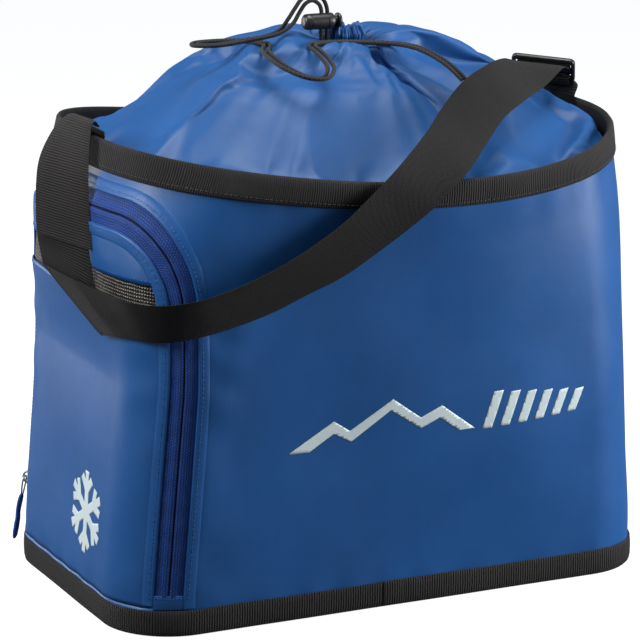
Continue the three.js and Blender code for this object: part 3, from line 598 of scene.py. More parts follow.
# ---- walls ----
CORNER1, CORNER2 = FLAT + ARC, FLAT + ARC + LONG
SEAM_LEFT, SEAM_RIGHT = -(CORNER1 - ARC / 6), -(CORNER2 + ARC / 2)
CELL = 3.4  # of the walls' grid
WALL_CLOTH, SKIRT_CLOTH = 1.3, 0.5  # thicknesses


def even(a, b, step=CELL):
    return np.linspace(a, b, max(2, int(round(abs(b - a) / step)) + 1))


def joined(*parts):
    return np.unique(np.round(np.concatenate(parts), 4))


def panel(name, us, vs, keep, edge, material, body, slot, out=0.0, sunk=0.9):
    """A wall panel on a grid, cut along the zip at the distance edge from its centre line.

    keep says which side stays: 1 outside, -1 inside, 0 uncut. The cut edge lies sunk under the turned hem.
    """
    u, v = (a.ravel() for a in np.meshgrid(us, vs, indexing="ij"))
    alive = np.ones(len(u), bool)
    if keep:
        for _ in range(3):
            e = keep * (outside_zip(u, v) - edge)
            low = (v > FOOT) if keep > 0 else np.ones(len(u), bool)
            h = 0.05
            gu = (outside_zip(u + h, v) - outside_zip(u - h, v)) / (2 * h)
            gv = (outside_zip(u, v + h) - outside_zip(u, v - h)) / (2 * h)
            near = (np.abs(e) < 0.62 * CELL) & low
            u = np.where(near, u - keep * e * gu, u)
            v = np.where(near, v - keep * e * gv, v)
        e = keep * (outside_zip(u, v) - edge)
        alive = (e > -0.3) | ((keep > 0) & (v <= FOOT + 0.01))
    d = np.abs(outside_zip(u, v) - edge) if keep else np.full(len(u), 99.0)
    pts = skin(u, v, out - sunk * (1 - smooth(4.0, 7.5, d)))
    nv = len(vs)
    faces = [f for f in grid_faces(len(us), nv) if alive[list(f)].all()]
    used = np.unique(np.asarray(faces).ravel())
    index = np.full(len(u), -1)
    index[used] = np.arange(len(used))
    uv = np.stack([u, v], -1)[used]
    obj = mesh(name, pts[used], [tuple(index[list(f)]) for f in faces], material, body, uv)
    return thicken(obj, WALL_CLOTH)


LEFT_EDGE, RIGHT_EDGE = DOOR_MIDDLE - DOOR_HALF - ZIP_HALF, DOOR_MIDDLE + DOOR_HALF + ZIP_HALF
TOP_EDGE = DOOR_TOP + ZIP_HALF
wall_rows = joined(even(1.8, FOOT), even(FOOT, LEG), even(LEG, TOP_EDGE), even(TOP_EDGE, TOP - 1))
front_columns = joined(
    even(SEAM_LEFT, LEFT_EDGE), even(LEFT_EDGE, RIGHT_EDGE), even(RIGHT_EDGE, 2 * HALF_ROUND + SEAM_RIGHT),
)
blue_wall = (wall_cloth, "bag", "blue_fabric")
front = panel("front_wrap_look", front_columns, wall_rows, 1, ZIP_HALF, *blue_wall)
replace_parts(front, "front_wrap_panel")
back = panel("back_panel_look", even(SEAM_RIGHT, SEAM_LEFT), wall_rows, 0, 0, *blue_wall)
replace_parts(back, "back_panel")

# ---- the door: two cloth panels with a mesh band between ----
VENT_LOW, VENT_HIGH = 226.0, 249.5
inner = DOOR_HALF - ZIP_HALF
door_columns = even(DOOR_MIDDLE - inner, DOOR_MIDDLE + inner)
blue_door = (wall_cloth, "door", "blue_fabric")
for part, low, high in (("lower", FOOT + 0.4, VENT_LOW), ("upper", VENT_HIGH, DOOR_TOP - ZIP_HALF)):
    look = panel(f"door_{part}_look", door_columns, even(low, high), -1, -ZIP_HALF, *blue_door)
    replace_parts(look, f"door_{part}_panel")
net_door = (vent_net, "door", "vent_mesh")
vent_rows = even(VENT_LOW - 3, VENT_HIGH + 3)
vent = panel("door_vent_look", door_columns, vent_rows, -1, -ZIP_HALF + 1, *net_door, -2.0, 0.0)
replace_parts(vent, "door_vent_mesh")


# ---- zip tapes ----
ZIP_TOP_PROFILE = [
    (0.2, -1.6), (0.22, -0.5), (0.7, 0.15), (1.6, 0.5), (3.0, 0.55), (4.4, 0.35), (5.6, -0.1), (7.5, -0.35),
    (9.5, -0.45), (12.4, -1.0), (12.4, -2.2), (0.2, -2.2),
]


def zip_tape(half, side, body, s0, s1):
    """One half of the zip: its tape with the coil's ridge beside the meeting edge."""
    section = [(side * w, h) for w, h in ZIP_TOP_PROFILE]
    if side < 0:
        section = section[::-1]
    s = even(s0, s1, 2.4)
    w = np.array([a for a, _ in section])
    h = np.array([b for _, b in section])
    u, v = zip_place(s[:, None], w[None, :])
    pts = skin(u, v, h[None, :] + 0.12 * np.sin(s[:, None] / 2.9))
    n, m = len(s), len(section)
    faces = grid_faces(n, m, wrap_v=True) + end_caps(n, m)
    obj = mesh(f"zip_{half}_look", pts, faces, zip_blue, body, pairs(w, s[:, None]))
    smooth_normals_off(obj, 50)
    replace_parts(obj, f"zip_{half}_tape", f"zip_{half}_coil")


HEM_PROFILE = [
    (10.3, -1.6), (10.2, -0.4), (10.35, 0.55), (10.9, 1.05), (11.8, 1.15), (13.0, 0.85),
    (14.2, 0.8), (16.5, 0.55), (18.0, 0.25), (HEM_END, -0.25), (HEM_END, -1.0), (12.0, -1.0),
]


def zip_hem(name, side, body, s0, s1):
    """The panel's edge turned under beside the zip: a small roll, flattened by its stitch row."""
    section = HEM_PROFILE if side > 0 else HEM_PROFILE[::-1]
    s = even(s0, s1, 2.2)
    w = np.array([side * a for a, _ in section])
    h = np.array([b for _, b in section])
    dent = 0.22 * np.sin(s / 1.0)[:, None] * ((w * side > 12.4) & (w * side < 15) & (h > 0))[None, :]
    u, v = zip_place(s[:, None], w[None, :])
    pts = skin(u, v, h[None, :] + dent)
    n, m = len(s), len(section)
    faces = grid_faces(n, m, wrap_v=True) + end_caps(n, m)
    obj = mesh(name, pts, faces, wall_cloth, body, np.stack([u, v], -1))
    smooth_normals_off(obj, 60)


for half, side, body, end in (("outer", 1, "bag", 20.5), ("inner", -1, "door", 23.0)):
    zip_hem(f"zip_{half}_hem", side, body, end, ZIP_LENGTH - end)
for half, side, body in (("outer", 1, "bag"), ("inner", -1, "door")):
    zip_tape(half, side, body, 22.0, ZIP_LENGTH - 29.0)


def zip_foot(name, node, s0, s1):
    """The cloth tab sewn across the zip's end."""
    s, w = even(s0, s1, 1.2), np.linspace(-ZIP_HALF - 1.5, ZIP_HALF + 1.5, 13)
    u, v = zip_place(s[:, None], w[None, :])
    swell = 0.5 * np.sin(np.linspace(0, math.pi, len(s)))[:, None] + 0.25
    pts = skin(u, v, swell - 0.7 * (np.abs(w[None, :]) > ZIP_HALF))
    obj = mesh(name, pts, grid_faces(len(s), len(w)), wall_cloth, "bag", pairs(w, s[:, None]))
    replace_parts(thicken(obj, 0.9), node)


zip_foot("zip_garage_look", "zip_garage", 19.5, 34)
zip_foot("zip_end_look", "zip_end_tab", ZIP_LENGTH - 30.5, ZIP_LENGTH - 19.5)


# ---- stitches ----
def stitches(name, pts, normals, material, body, slot, pitch=3.1, length=2.3, width=0.32):
    """Thread stitches along a line of close points, each a slim spindle half sunk in the cloth."""
    along = lengths(pts)
    centres = np.arange(pitch / 2, along[-1] - pitch / 2, pitch)

    def at(x, values):
        return np.stack([np.interp(x, along, values[:, k]) for k in range(3)], -1)

    a, b = at(centres - length / 2, pts), at(centres + length / 2, pts)
    n = unit(at(centres, normals))
    t = unit(b - a)
    side = unit(np.cross(n, t))
    verts, faces = [], []
    for f, r in ((0.0, 0.25), (0.2, 0.9), (0.5, 1.0), (0.8, 0.9), (1.0, 0.25)):
        for k in range(6):
            c, s = math.cos(k * math.pi / 3), math.sin(k * math.pi / 3)
            lift = 0.10 * math.sin(math.pi * f)
            verts.append(a + (b - a) * f + side * (width * r * c) + n * (width * r * 0.8 * s + lift))
    verts = np.stack(verts, 1)
    count = verts.shape[1]
    for i in range(len(centres)):
        o = i * count
        for ringed in range(4):
            for k in range(6):
                p, q = o + ringed * 6 + k, o + ringed * 6 + (k + 1) % 6
                faces.append((p, q, q + 6, p + 6))
    return mesh(name, verts, faces, material, body)


def stitch_line(name, u, v, out, material, body, slot, **how):
    return stitches(name, skin(u, v, out), wall_normal(u, v), material, body, slot, **how)


s = even(24, ZIP_LENGTH - 24, 2)
HEM_ROW = ZIP_HALF + 3.0
for half, side, body in (("outer", 1, "bag"), ("inner", -1, "door")):
    row = zip_place(s, side * HEM_ROW)
    stitch_line(f"zip_{half}_stitches", *row, 0.85, thread_blue, body, "blue_fabric")
for name, v in (("vent_low_stitches", VENT_LOW - 2.5), ("vent_high_stitches", VENT_HIGH + 2.5)):
    u = even(DOOR_MIDDLE - inner + 4, DOOR_MIDDLE + inner - 4, 2)
    stitch_line(name, u, np.full(len(u), v), 0.15, thread_blue, "door", "blue_fabric")
w = np.linspace(-ZIP_HALF, ZIP_HALF, 12)
end_row = zip_place(np.full(12, ZIP_LENGTH - 28.6), w)
stitch_line("zip_end_stitches", *end_row, 0.75, thread_blue, "bag", "blue_fabric", pitch=2.6, length=1.9)

# ---- base ----
TAPE_RELIEF = 0.35  # how much of the wall's relief shows through tape sewn over it
round_u = even(-HALF_ROUND, HALF_ROUND, 3.0)[:-1]


def wall_band(name, u, profile, material, body):
    """A closed ring round the bag; profile gives (out from the wall, height, lift)."""
    rows = []
    for out, v, lift in profile:
        p = wall(u, v) + wall_normal(u, v) * (relief(u, min(v, TOP)) * TAPE_RELIEF + out)[..., None]
        p[:, 2] += lift
        rows.append(p)
    pts = np.stack(rows, 1)
    section = np.array([(o, v + lift) for o, v, lift in profile])
    faces = grid_faces(*pts.shape[:2], wrap_u=True, wrap_v=True)
    return mesh(name, pts, faces, material, body, pairs(lengths(section), u[:, None]))


BASE_PROFILE = [
    (0.35, BINDING - 0.2), (0.9, BINDING + 0.1), (1.5, BINDING - 0.7), (1.9, 14), (2.0, 9), (1.9, 4.5),
    (1.3, 1.5), (0.2, 0.3), (-1.6, 0.02), (-8, 0.02), (-18.4, 0.02), (-19, 0.5), (-18.4, 1.2),
    (-3, 1.3), (0.2, 3.0), (0.4, 9),
]


def base_tape(name, us, proud=0.0, closed=True):
    """The binding round the base: folded over the foot of the wall and under the base panel's edge."""
    across = unit(wall_normal(us, 9.0) * (1, 1, 0))
    foot = wall(us, 0.0)
    waver = 0.25 * np.sin(us / 23) + 0.15 * np.sin(us / 9.1)
    rows = []
    for out, z in BASE_PROFILE:
        sag = 0.12 * np.sin(us / 17) * (out > 0)
        p = foot + across * (out + proud * (out > 0.3) + sag)[:, None]
        p[:, :2] += (wall(us, max(z, 0.0)) - foot)[:, :2]
        p[:, 2] = z + (waver * 0.8 if z > BINDING - 2 else 0)
        rows.append(p)
    pts = np.stack(rows, 1)
    n, m = pts.shape[:2]
    faces = grid_faces(n, m, wrap_u=closed, wrap_v=True) + ([] if closed else end_caps(n, m))
    uv = pairs(lengths(BASE_PROFILE), us[:, None])
    return mesh(name, pts, faces, binding_tape, "bag", uv)


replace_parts(base_tape("base_binding_look", round_u), "base_binding")
TAPE_JOINT = FLAT + ARC + HALF_LENGTH - CORNER - 8
joint_u = np.linspace(TAPE_JOINT - 8, TAPE_JOINT + 8, 17)
joint_swell = 1.1 * np.clip(np.cos((joint_u - TAPE_JOINT) / 8 * 1.35), 0, 1) ** 0.4
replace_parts(base_tape("base_binding_joint", joint_u, joint_swell, closed=False), "base_binding")


def base_underside():
    """The cloth under the bag, bowed up a little inside the binding."""
    outline = wall(round_u, 0.0)[:, :2]
    rings = [(0.985, 3.0), (0.905, 2.4), (0.89, 0.25), (0.6, 0.35), (0.3, 0.3), (0.05, 0.3)]
    pts = np.vstack([np.column_stack([outline * f, np.full(len(outline), z)]) for f, z in rings])
    n = len(outline)
    faces = [
        (k * n + i, k * n + (i + 1) % n, (k + 1) * n + (i + 1) % n, (k + 1) * n + i)
        for k in range(len(rings) - 1) for i in range(n)
    ]
    faces.append(tuple((len(rings) - 1) * n + i for i in range(n)))
    obj = mesh("base_panel_look", pts, faces, wall_cloth, "bag", pts[:, :2])
    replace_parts(obj, "base_panel")


base_underside()

# ---- rim binding, folded over the top edge ----
RIM_PROFILE = [
    (0.2, TOP - 18.0, 0), (0.9, TOP - 18.5, 0), (1.5, TOP - 17.6, 0), (1.9, TOP - 12, 0), (1.9, TOP - 5, 0),
    (1.5, TOP - 0.8, 0.6), (0.3, TOP, 1.5), (-1.2, TOP, 1.6), (-2.6, TOP, 0.9), (-3.1, TOP - 1.5, 0),
    (-3.2, TOP - 9, 0), (-3.1, TOP - 17.6, 0), (-2.6, TOP - 18.3, 0), (-2.0, TOP - 17.5, 0),
    (-2.0, TOP - 2, 0), (0.2, TOP - 2, 0),
]
rim_band = wall_band("rim_binding_look", round_u, RIM_PROFILE, binding_tape, "bag")
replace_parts(rim_band, "rim_binding")
u, v = even(-HALF_ROUND, HALF_ROUND - 3, 2), TOP - 15.6
at = wall(u, v) + wall_normal(u, v) * (relief(u, v) * TAPE_RELIEF + 1.85)[:, None]
stitches("rim_stitches", at, wall_normal(u, v), thread_black, "bag", "black_binding", pitch=3.4, length=2.4)

# ---- skirt: a dome of thin cloth gathered to the throat ----
THROAT = np.array([12.0, 0.0])
SKIRT_PROFILE = np.array([
    (0, 386), (0.05, 383), (0.12, 382), (0.25, 384), (0.4, 384), (0.55, 380.5), (0.62, 376), (0.69, 367),
    (0.76, 355), (0.83, 343), (0.9, 331), (0.96, 323), (1, 317),
])


def skirt_height(q):
    """The dome's height, its profile smoothed."""
    taps = np.linspace(-0.05, 0.05, 9)
    x = np.clip(np.asarray(q)[..., None] + taps, 0, 1)
    return np.interp(x, SKIRT_PROFILE[:, 0], SKIRT_PROFILE[:, 1]).mean(-1)


def skirt_base(u, q):
    inset = 5.2
    rim = wall(u, TOP) - wall_normal(u, TOP) * inset
    x = lerp(THROAT[0], rim[..., 0], q)
    y = lerp(THROAT[1], rim[..., 1], q)
    z = skirt_height(q) + (wall(u, TOP)[..., 2] - TOP) * q * q
    return np.stack([x, y, z], -1)


def wrap_angle(a):
    return (a + math.pi) % (2 * math.pi) - math.pi


def skirt_folds(theta, q, reach):
    """Folds that start deep and narrow at the throat and open out towards the rim.

    reach is the distance from the throat.
    """
    rng = np.random.default_rng(21)
    out = np.zeros_like(q * theta)
    count = 15
    for i in range(count):
        at = 2 * math.pi * (i + rng.uniform(-0.28, 0.28)) / count
        bend = rng.uniform(-0.22, 0.22)
        depth = rng.uniform(6.0, 12.5)
        end = rng.uniform(0.5, 0.92)
        peak = rng.uniform(0.2, 0.36)
        width = rng.uniform(0.085, 0.16)
        a = wrap_angle(theta - at - bend * q)
        profile = smooth(0.03, peak, q) * (1 - smooth(peak, end, q))
        x = a * reach / (3.0 + width * reach * 1.1)
        out = out - depth * profile * np.exp(-np.abs(x) ** 1.35)
        b = wrap_angle(theta - at - bend * q - rng.uniform(0.1, 0.2))
        y = b * reach / (4.0 + width * reach * 1.5)
        out = out + 0.55 * depth * profile * np.exp(-(y**2))
    tight = np.exp(-((q / 0.2) ** 2))
    out = out + 1.6 * tight * np.sin(26 * theta + 3 * np.sin(3 * theta)) * smooth(0.0, 0.06, q)
    mid = smooth(0.08, 0.25, q) * (1 - smooth(0.55, 0.95, q))
    out = out + 0.4 * mid * np.sin(31 * theta + 5 * q + 2.5 * np.sin(5 * theta))
    rim = smooth(0.72, 0.9, q) * (1 - 0.85 * smooth(0.95, 1, q))
    uneven = 0.6 + 0.4 * np.sin(5 * theta + 1)
    out = out + 0.7 * rim * np.sin(17 * theta + 4 * np.sin(2 * theta) + 3 * q) * uneven
    swells = 2.2 * ripple(reach * np.cos(theta) / 46, reach * np.sin(theta) / 46, 5)
    return out + swells * smooth(0.15, 0.4, q) * (1 - smooth(0.85, 1, q))


def settle(obj, columns, rows):
    """Lets the gathered cloth crumple: it is cut larger than its given shape and held at throat and rim.

    No point ends further than a set distance from where it began.
    """
    frames, spare, furthest = 22, 0.14, 16.0
    held = np.zeros((columns, rows), bool)
    held[:, 0] = held[:, -2:] = True
    obj.vertex_groups.new(name="held").add(np.flatnonzero(held).tolist(), 1.0, "REPLACE")
    modifier = obj.modifiers.new("cloth", "CLOTH")
    cloth = modifier.settings
    cloth.quality, cloth.mass, cloth.air_damping = 4, 0.02, 1
    cloth.tension_stiffness = cloth.compression_stiffness = 40
    cloth.tension_damping = cloth.compression_damping = cloth.shear_damping = 3
    cloth.shear_stiffness, cloth.bending_model, cloth.bending_stiffness = 20, "ANGULAR", 3.0
    cloth.shrink_min, cloth.vertex_group_mass = -spare, "held"
    cloth.use_pressure, cloth.uniform_pressure_force = True, 1.2
    cloth.effector_weights.gravity = 0
    modifier.collision_settings.use_collision = False
    modifier.point_cache.frame_start, modifier.point_cache.frame_end = 1, frames
    start, end = np.empty(3 * columns * rows), np.empty(3 * columns * rows)
    obj.data.vertices.foreach_get("co", start)
    for number in range(1, frames + 1):
        bpy.context.scene.frame_set(number)
    obj.evaluated_get(bpy.context.evaluated_depsgraph_get()).data.vertices.foreach_get("co", end)
    obj.modifiers.remove(modifier)
    obj.vertex_groups.clear()
    bpy.context.scene.frame_set(1)
    start, end = start.reshape(-1, 3), end.reshape(-1, 3)
    move = end - start
    far = np.linalg.norm(move, axis=1, keepdims=True) / (furthest * MM)
    obj.data.vertices.foreach_set("co", (start + move / np.sqrt(1 + far**2)).ravel())
    obj.data.update()


def make_skirt():
    u = even(-HALF_ROUND, HALF_ROUND, 4.6)[:-1]
    q = np.linspace(0.045, 1.0, 50)
    U, Q = np.meshgrid(u, q, indexing="ij")
    P = skirt_base(U, Q)
    nu = len(u)
    du = np.roll(P, -1, 0) - np.roll(P, 1, 0)
    dq = np.gradient(P, axis=1)
    n = unit(np.cross(dq, du))
    n *= np.sign(n[..., 2:3].mean())
    rel = P[..., :2] - THROAT
    theta, reach = np.arctan2(rel[..., 1], rel[..., 0]), np.hypot(rel[..., 0], rel[..., 1])
    P = P + n * skirt_folds(theta, Q, reach)[..., None]
    uv = np.stack([U, Q * 190], -1)
    obj = mesh("skirt_look", P, grid_faces(nu, len(q), wrap_u=True), skirt_cloth, "bag", uv)
    settle(obj, nu, len(q))
    obj.modifiers.new("fine", "SUBSURF").render_levels = 1
    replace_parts(thicken(obj, SKIRT_CLOTH), "skirt")
    return obj


def press_under(obj, points, gap, near, far):
    """Pushes cloth down to a gap under points lying on it, less and less from near to far beside them."""
    free = 30  # how far above the ceiling the cloth may stand at the edge of reach
    co = np.empty(3 * len(obj.data.vertices))
    obj.data.vertices.foreach_get("co", co)
    co = co.reshape(-1, 3) / MM
    tree = KDTree(len(points))
    for i, p in enumerate(points):
        tree.insert((p[0], p[1], 0), i)
    tree.balance()
    for p in co:
        for _, i, distance in tree.find_range((p[0], p[1], 0), far):
            ceiling = points[i][2] - gap + free * float(smooth(near, far, distance))
            p[2] = min(p[2], ceiling)
    obj.data.vertices.foreach_set("co", (co * MM).ravel())
    obj.data.update()


skirt_cloth_piece = make_skirt()
cord_points = np.vstack([catmull(strand(side), np.linspace(0, 1, 200)) for side in (1, -1)])
LYING_BELOW, HEM_REACH = 392, 24
from_throat = np.hypot(*(cord_points[:, :2] - THROAT).T)
lying = cord_points[(cord_points[:, 2] < LYING_BELOW) & (from_throat > HEM_REACH)]
press_under(skirt_cloth_piece, lying, 2.4, 3.0, 24.0)


def make_hem():
    """The gathered hem: a tunnel bunched up on its cord, standing out of the throat."""
    n, m = 360, 40
    th = np.linspace(0, 2 * math.pi, n, endpoint=False)
    t = np.linspace(0, 1, m)
    T, S = np.meshgrid(th, t, indexing="ij")
    bunch = 0.5 + 0.5 * np.sin(17 * T + 2.2 * np.sin(2 * T) + 0.6 * np.sin(9 * S))
    stations = [0, 0.15, 0.35, 0.5, 0.65, 0.85, 1]
    r_out = np.interp(S, stations, [15.0, 13.2, 15.0, 12.0, 7.2, 6.2, 8.0])
    z = np.interp(S, stations, [381.5, 386.5, 392.5, 398.0, 396.0, 389.0, 381.0])
    pleats = 3.4 * (bunch - 0.5) + 1.1 * np.sin(37 * T + 4 * S + 1.5 * np.sin(4 * T))
    r = r_out + pleats * np.interp(S, [0, 0.2, 0.5, 1], [1.1, 1, 0.75, 0.7])
    z = z + 1.6 * (bunch - 0.5) * np.interp(S, [0, 0.3, 0.5, 1], [0, 0.6, 1, 0])
    z = z + 1.5 * np.sin(5 * T + 1) * np.interp(S, [0, 0.5, 1], [0, 1, 0])
    P = np.stack([THROAT[0] + r * np.cos(T), THROAT[1] + r * np.sin(T), z], -1)
    uv = np.stack([T * 90, S * 40], -1)
    obj = mesh("hem_look", P, grid_faces(n, m, wrap_u=True), skirt_cloth, "bag", uv)
    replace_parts(thicken(obj, SKIRT_CLOTH, 0), "hem_channel")


make_hem()

# ---- webbing ----
STRAP_WIDTH, STRAP_THICK = 40.0, 1.4
BAR = np.array([183.0, 8.0, 362.0])
BAR_ALONG = unit(np.array([0.788, -0.616, -0.08]))
BAR_DOWN = np.array([0.288, 0.481, -0.828])
BAR_DOWN = unit(BAR_DOWN - BAR_ALONG * BAR_DOWN.dot(BAR_ALONG))
BAR_OUT = np.cross(BAR_ALONG, BAR_DOWN)


def on_bar(down, out, shift=(0, 0, 0)):
    c = BAR + BAR_DOWN * down + BAR_OUT * out + np.array(shift)
    return [tuple(c + k * BAR_ALONG * STRAP_WIDTH / 2) for k in (-1, 1)]


STRAP_EDGES = [
    [(-185.8, 15, 341.4), (-185.8, -25, 341.4)],
    [(-191, 14.5, 345.5), (-189.5, -25.5, 345.5)],
    [(-200, 12.5, 342.5), (-193.5, -27, 341)],
    [(-213, 5, 331), (-198, -32, 327)],
    [(-223, -3, 317), (-201.5, -37, 312)],
    [(-228.5, -11, 296), (-204, -43, 289)],
    [(-231, -19, 270), (-205.5, -51, 262)],
    [(-232, -29, 256), (-203, -59, 230)],
    [(-232, -31, 253), (-201.5, -61, 212)],
    [(-233, -34.5, 251.5), (-202.5, -64.5, 204)],
    [(-231.5, -38.5, 250.5), (-202, -69, 205)],
    [(-225, -60, 246.5), (-201, -84, 207)],
    [(-216, -95, 243), (-196.5, -101, 209)],
    [(-208, -128, 241), (-189, -116, 209)],
    [(-192, -147, 240.5), (-177.5, -128, 210)],
    [(-172, -158, 243.5), (-157, -137, 214)],
    [(-151, -159.5, 248), (-131, -140, 220)],
    [(-129, -160, 255), (-108, -142, 227)],
    [(-107, -160.5, 264), (-84, -144, 237)],
    [(-84, -159, 275), (-57, -146, 248)],
    [(-60, -157, 289), (-31, -149, 264)],
    [(-40, -154.5, 304), (-9, -152, 279)],
    [(-20, -150, 319), (9, -155, 293)],
    [(12, -130, 338), (32, -153, 312)],
    [(35, -111, 352), (58, -134, 328)],
    [(56, -102, 368), (82, -115, 342)],
    [(82, -88, 376), (105, -101, 350)],
    [(118, -48, 373.5), (142, -69, 355.5)],
    [(147, -9, 365), (174, -37, 361.5)],
    on_bar(-6.0, -13.0),
    on_bar(3.2, -4.2),
    on_bar(4.5, -1.6),
    on_bar(4.7, 1.4),
    on_bar(6.2, 3.2),
    on_bar(10.0, 3.3),
    on_bar(11.9, 1.5),
    on_bar(11.9, -1.5),
    on_bar(10.6, -3.2),
]


def ribbon(name, edges, count, material, body, node, out=0.0, slide=0.0):
    """A webbing ribbon through pairs of edge points, as its solid is made, with rounded selvedges."""
    t = np.linspace(0, 1, count + 1)
    a, b = (catmull([p[k] for p in edges], t) for k in (0, 1))
    across = unit(b - a)
    ahead = unit(np.gradient((a + b) / 2, axis=0))
    face = unit(np.cross(ahead, across))
    middle = (a + b) / 2 + face * out + across * slide
    width = np.linalg.norm(b - a, axis=1)
    section = np.array(band_section(0.5, 1.0, 12))
    n, m = len(t), len(section)
    aside, above = section[None, :, 0, None] * width[:, None, None], section[None, :, 1, None] * STRAP_THICK
    pts = middle[:, None] + across[:, None] * aside + face[:, None] * above
    uv = pairs(section[None, :, 0] * width[:, None], lengths(middle)[:, None])
    obj = mesh(name, pts, grid_faces(n, m, wrap_v=True) + end_caps(n, m), material, body, uv)
    smooth_normals_off(obj, 55)
    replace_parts(obj, node)
    return obj


ribbon("strap_look", STRAP_EDGES, 640, strap_cloth, "strap", "strap_webbing")
strap_edge_points = [catmull([pair[k] for pair in STRAP_EDGES], np.linspace(0, 1, 160)) for k in (0, 1)]
strap_points = np.vstack([lerp(*strap_edge_points, t) for t in np.linspace(0, 1, 7)])
SKIRT_FOOT, SKIRT_LEFT = 318, -60
over_skirt = strap_points[(strap_points[:, 2] > SKIRT_FOOT) & (strap_points[:, 0] > SKIRT_LEFT)]
press_under(skirt_cloth_piece, over_skirt, 2.2, 5.0, 20.0)
ribbon("strap_sewn_end_look", STRAP_EDGES[2:7], 80, tab_cloth, "strap", "strap_sewn_end", 2.4, 4)


def rim_inside(u, v, rise=0.0):
    """A point on tape sewn to the inside of the wall, lifted by rise."""
    inset = 4.8
    return tuple(wall(u, v) - wall_normal(u, v) * inset + np.array([0, 0, rise]))


ribbon("adjuster_tab_look", [
    [rim_inside(33 - HALF_ROUND, 314.0), rim_inside(HALF_ROUND - 7, 314.0)],
    [rim_inside(33 - HALF_ROUND, TOP), rim_inside(HALF_ROUND - 7, TOP)],
    [rim_inside(33 - HALF_ROUND, TOP, 4), rim_inside(HALF_ROUND - 7, TOP, 4)],
    [(190.4, 33.3, 342), (206.6, -3.3, 342)],
    [(177.7, 31.8, 347.6), (208.3, 6, 345)],
    on_bar(16.2, 3.1),
    on_bar(13, 0.3),
    on_bar(14, -3.1),
    on_bar(19.6, -3.6),
    on_bar(22.6, -2.6, (3, 0, 0)),
], 160, tab_cloth, "bag", "adjuster_tab")
ribbon("strap_anchor_look", [
    [rim_inside(-15, v, r), rim_inside(25, v, r)] for v, r in ((314.0, 0), (324.0, 0), (TOP, 0), (TOP, 5))
], 30, tab_cloth, "bag", "strap_anchor", 0.4)


# ---- adjuster: a moulded frame with rounded bars and two slots ----
def rounded(x0, y0, x1, y1, r):
    """A rectangle's outline from corner to corner, rounded by r."""
    pts, n = [], 8
    left, right, low, high = x0 + r, x1 - r, y0 + r, y1 - r
    for cx, cy, a0 in ((right, low, -90), (right, high, 0), (left, high, 90), (left, low, 180)):
        for k in range(n + 1):
            a = math.radians(a0 + 90 * k / n)
            pts.append((cx + r * math.cos(a), cy + r * math.sin(a)))
    return pts


def plate(name, outlines, thick, edge, matrix, origin, material, body):
    """A flat plate from 2-D outlines, the first outside and the rest holes, with rounded edges all round."""
    data = bpy.data.curves.new(name, "CURVE")
    data.dimensions, data.fill_mode = "2D", "BOTH"
    data.extrude = (thick / 2 - edge) * MM
    data.bevel_depth, data.bevel_resolution, data.offset = edge * MM, 3, -edge * MM
    for outline in outlines:
        spline = data.splines.new("POLY")
        spline.points.add(len(outline) - 1)
        for q, (x, y) in zip(spline.points, outline):
            q.co = (x * MM, y * MM, 0, 1)
        spline.use_cyclic_u = True
    holder = bpy.data.objects.new(name + "_outline", data)
    bpy.context.collection.objects.link(holder)
    shape = bpy.data.meshes.new_from_object(holder.evaluated_get(bpy.context.evaluated_depsgraph_get()))
    bpy.data.objects.remove(holder)
    xyz = np.empty(3 * len(shape.vertices))
    shape.vertices.foreach_get("co", xyz)
    xyz = xyz.reshape(-1, 3) / MM
    pts = np.asarray(origin) + xyz @ np.asarray(matrix)
    faces = [tuple(p.vertices) for p in shape.polygons]
    bpy.data.meshes.remove(shape)
    obj = mesh(name, pts, faces, material, body)
    b = bmesh.new()
    b.from_mesh(obj.data)
    bmesh.ops.remove_doubles(b, verts=b.verts, dist=1e-6)
    b.to_mesh(obj.data)
    b.free()
    return smooth_normals_off(obj, 35)


SLOT_HEIGHT = 4.4
bars = [rounded(-24, -2.25, 24, 20.05, 4)]
bars += [rounded(-21, y, 21, y + SLOT_HEIGHT, 1) for y in (2.25, 11.15)]
bar_axes = [BAR_ALONG, BAR_DOWN, BAR_OUT]
adjuster = plate("adjuster_look", bars, 3.8, 1.2, bar_axes, BAR, plastic, "adjuster")
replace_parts(adjuster, "adjuster_frame")


# ---- cord lock ----
def lathe_x(name, profile, centre, material, body):
    """A solid of revolution about X from (x, radius) pairs."""
    n = 48
    th = np.linspace(0, 2 * math.pi, n, endpoint=False)
    pts = np.array([[(x, r * math.cos(a), r * math.sin(a)) for x, r in profile] for a in th])
    faces = grid_faces(n, len(profile), wrap_u=True)
    return smooth_normals_off(mesh(name, pts + np.asarray(centre), faces, material, body), 38)


LOCK = (-9.0, -9.0, 403.0)
barrel = [
    (-14.5, 0), (-14.45, 2.6), (-14.1, 4.2), (-13.2, 5.2), (-12.0, 5.7), (-10, 5.75), (-9.7, 5.35),
    (-9.2, 5.35), (-8.9, 5.8), (3.2, 5.8), (3.5, 5.35), (4.0, 5.35), (4.3, 5.8), (7.6, 5.8), (8.3, 5.5),
    (8.5, 5.0), (8.5, 3.6), (0, 3.6),
]
head = [
    (0, 3.3), (11.6, 3.3), (11.8, 4.6), (12.2, 5.4), (13.0, 5.6), (13.6, 5.5), (14.4, 4.9), (14.9, 3.6),
    (15.0, 2.2), (14.6, 1.8), (14.5, 0),
]
for part, profile, body in (("barrel", barrel, "lock"), ("plunger", head, "plunger")):
    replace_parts(lathe_x(f"lock_{part}_look", profile, LOCK, plastic, body), f"lock_{part}")


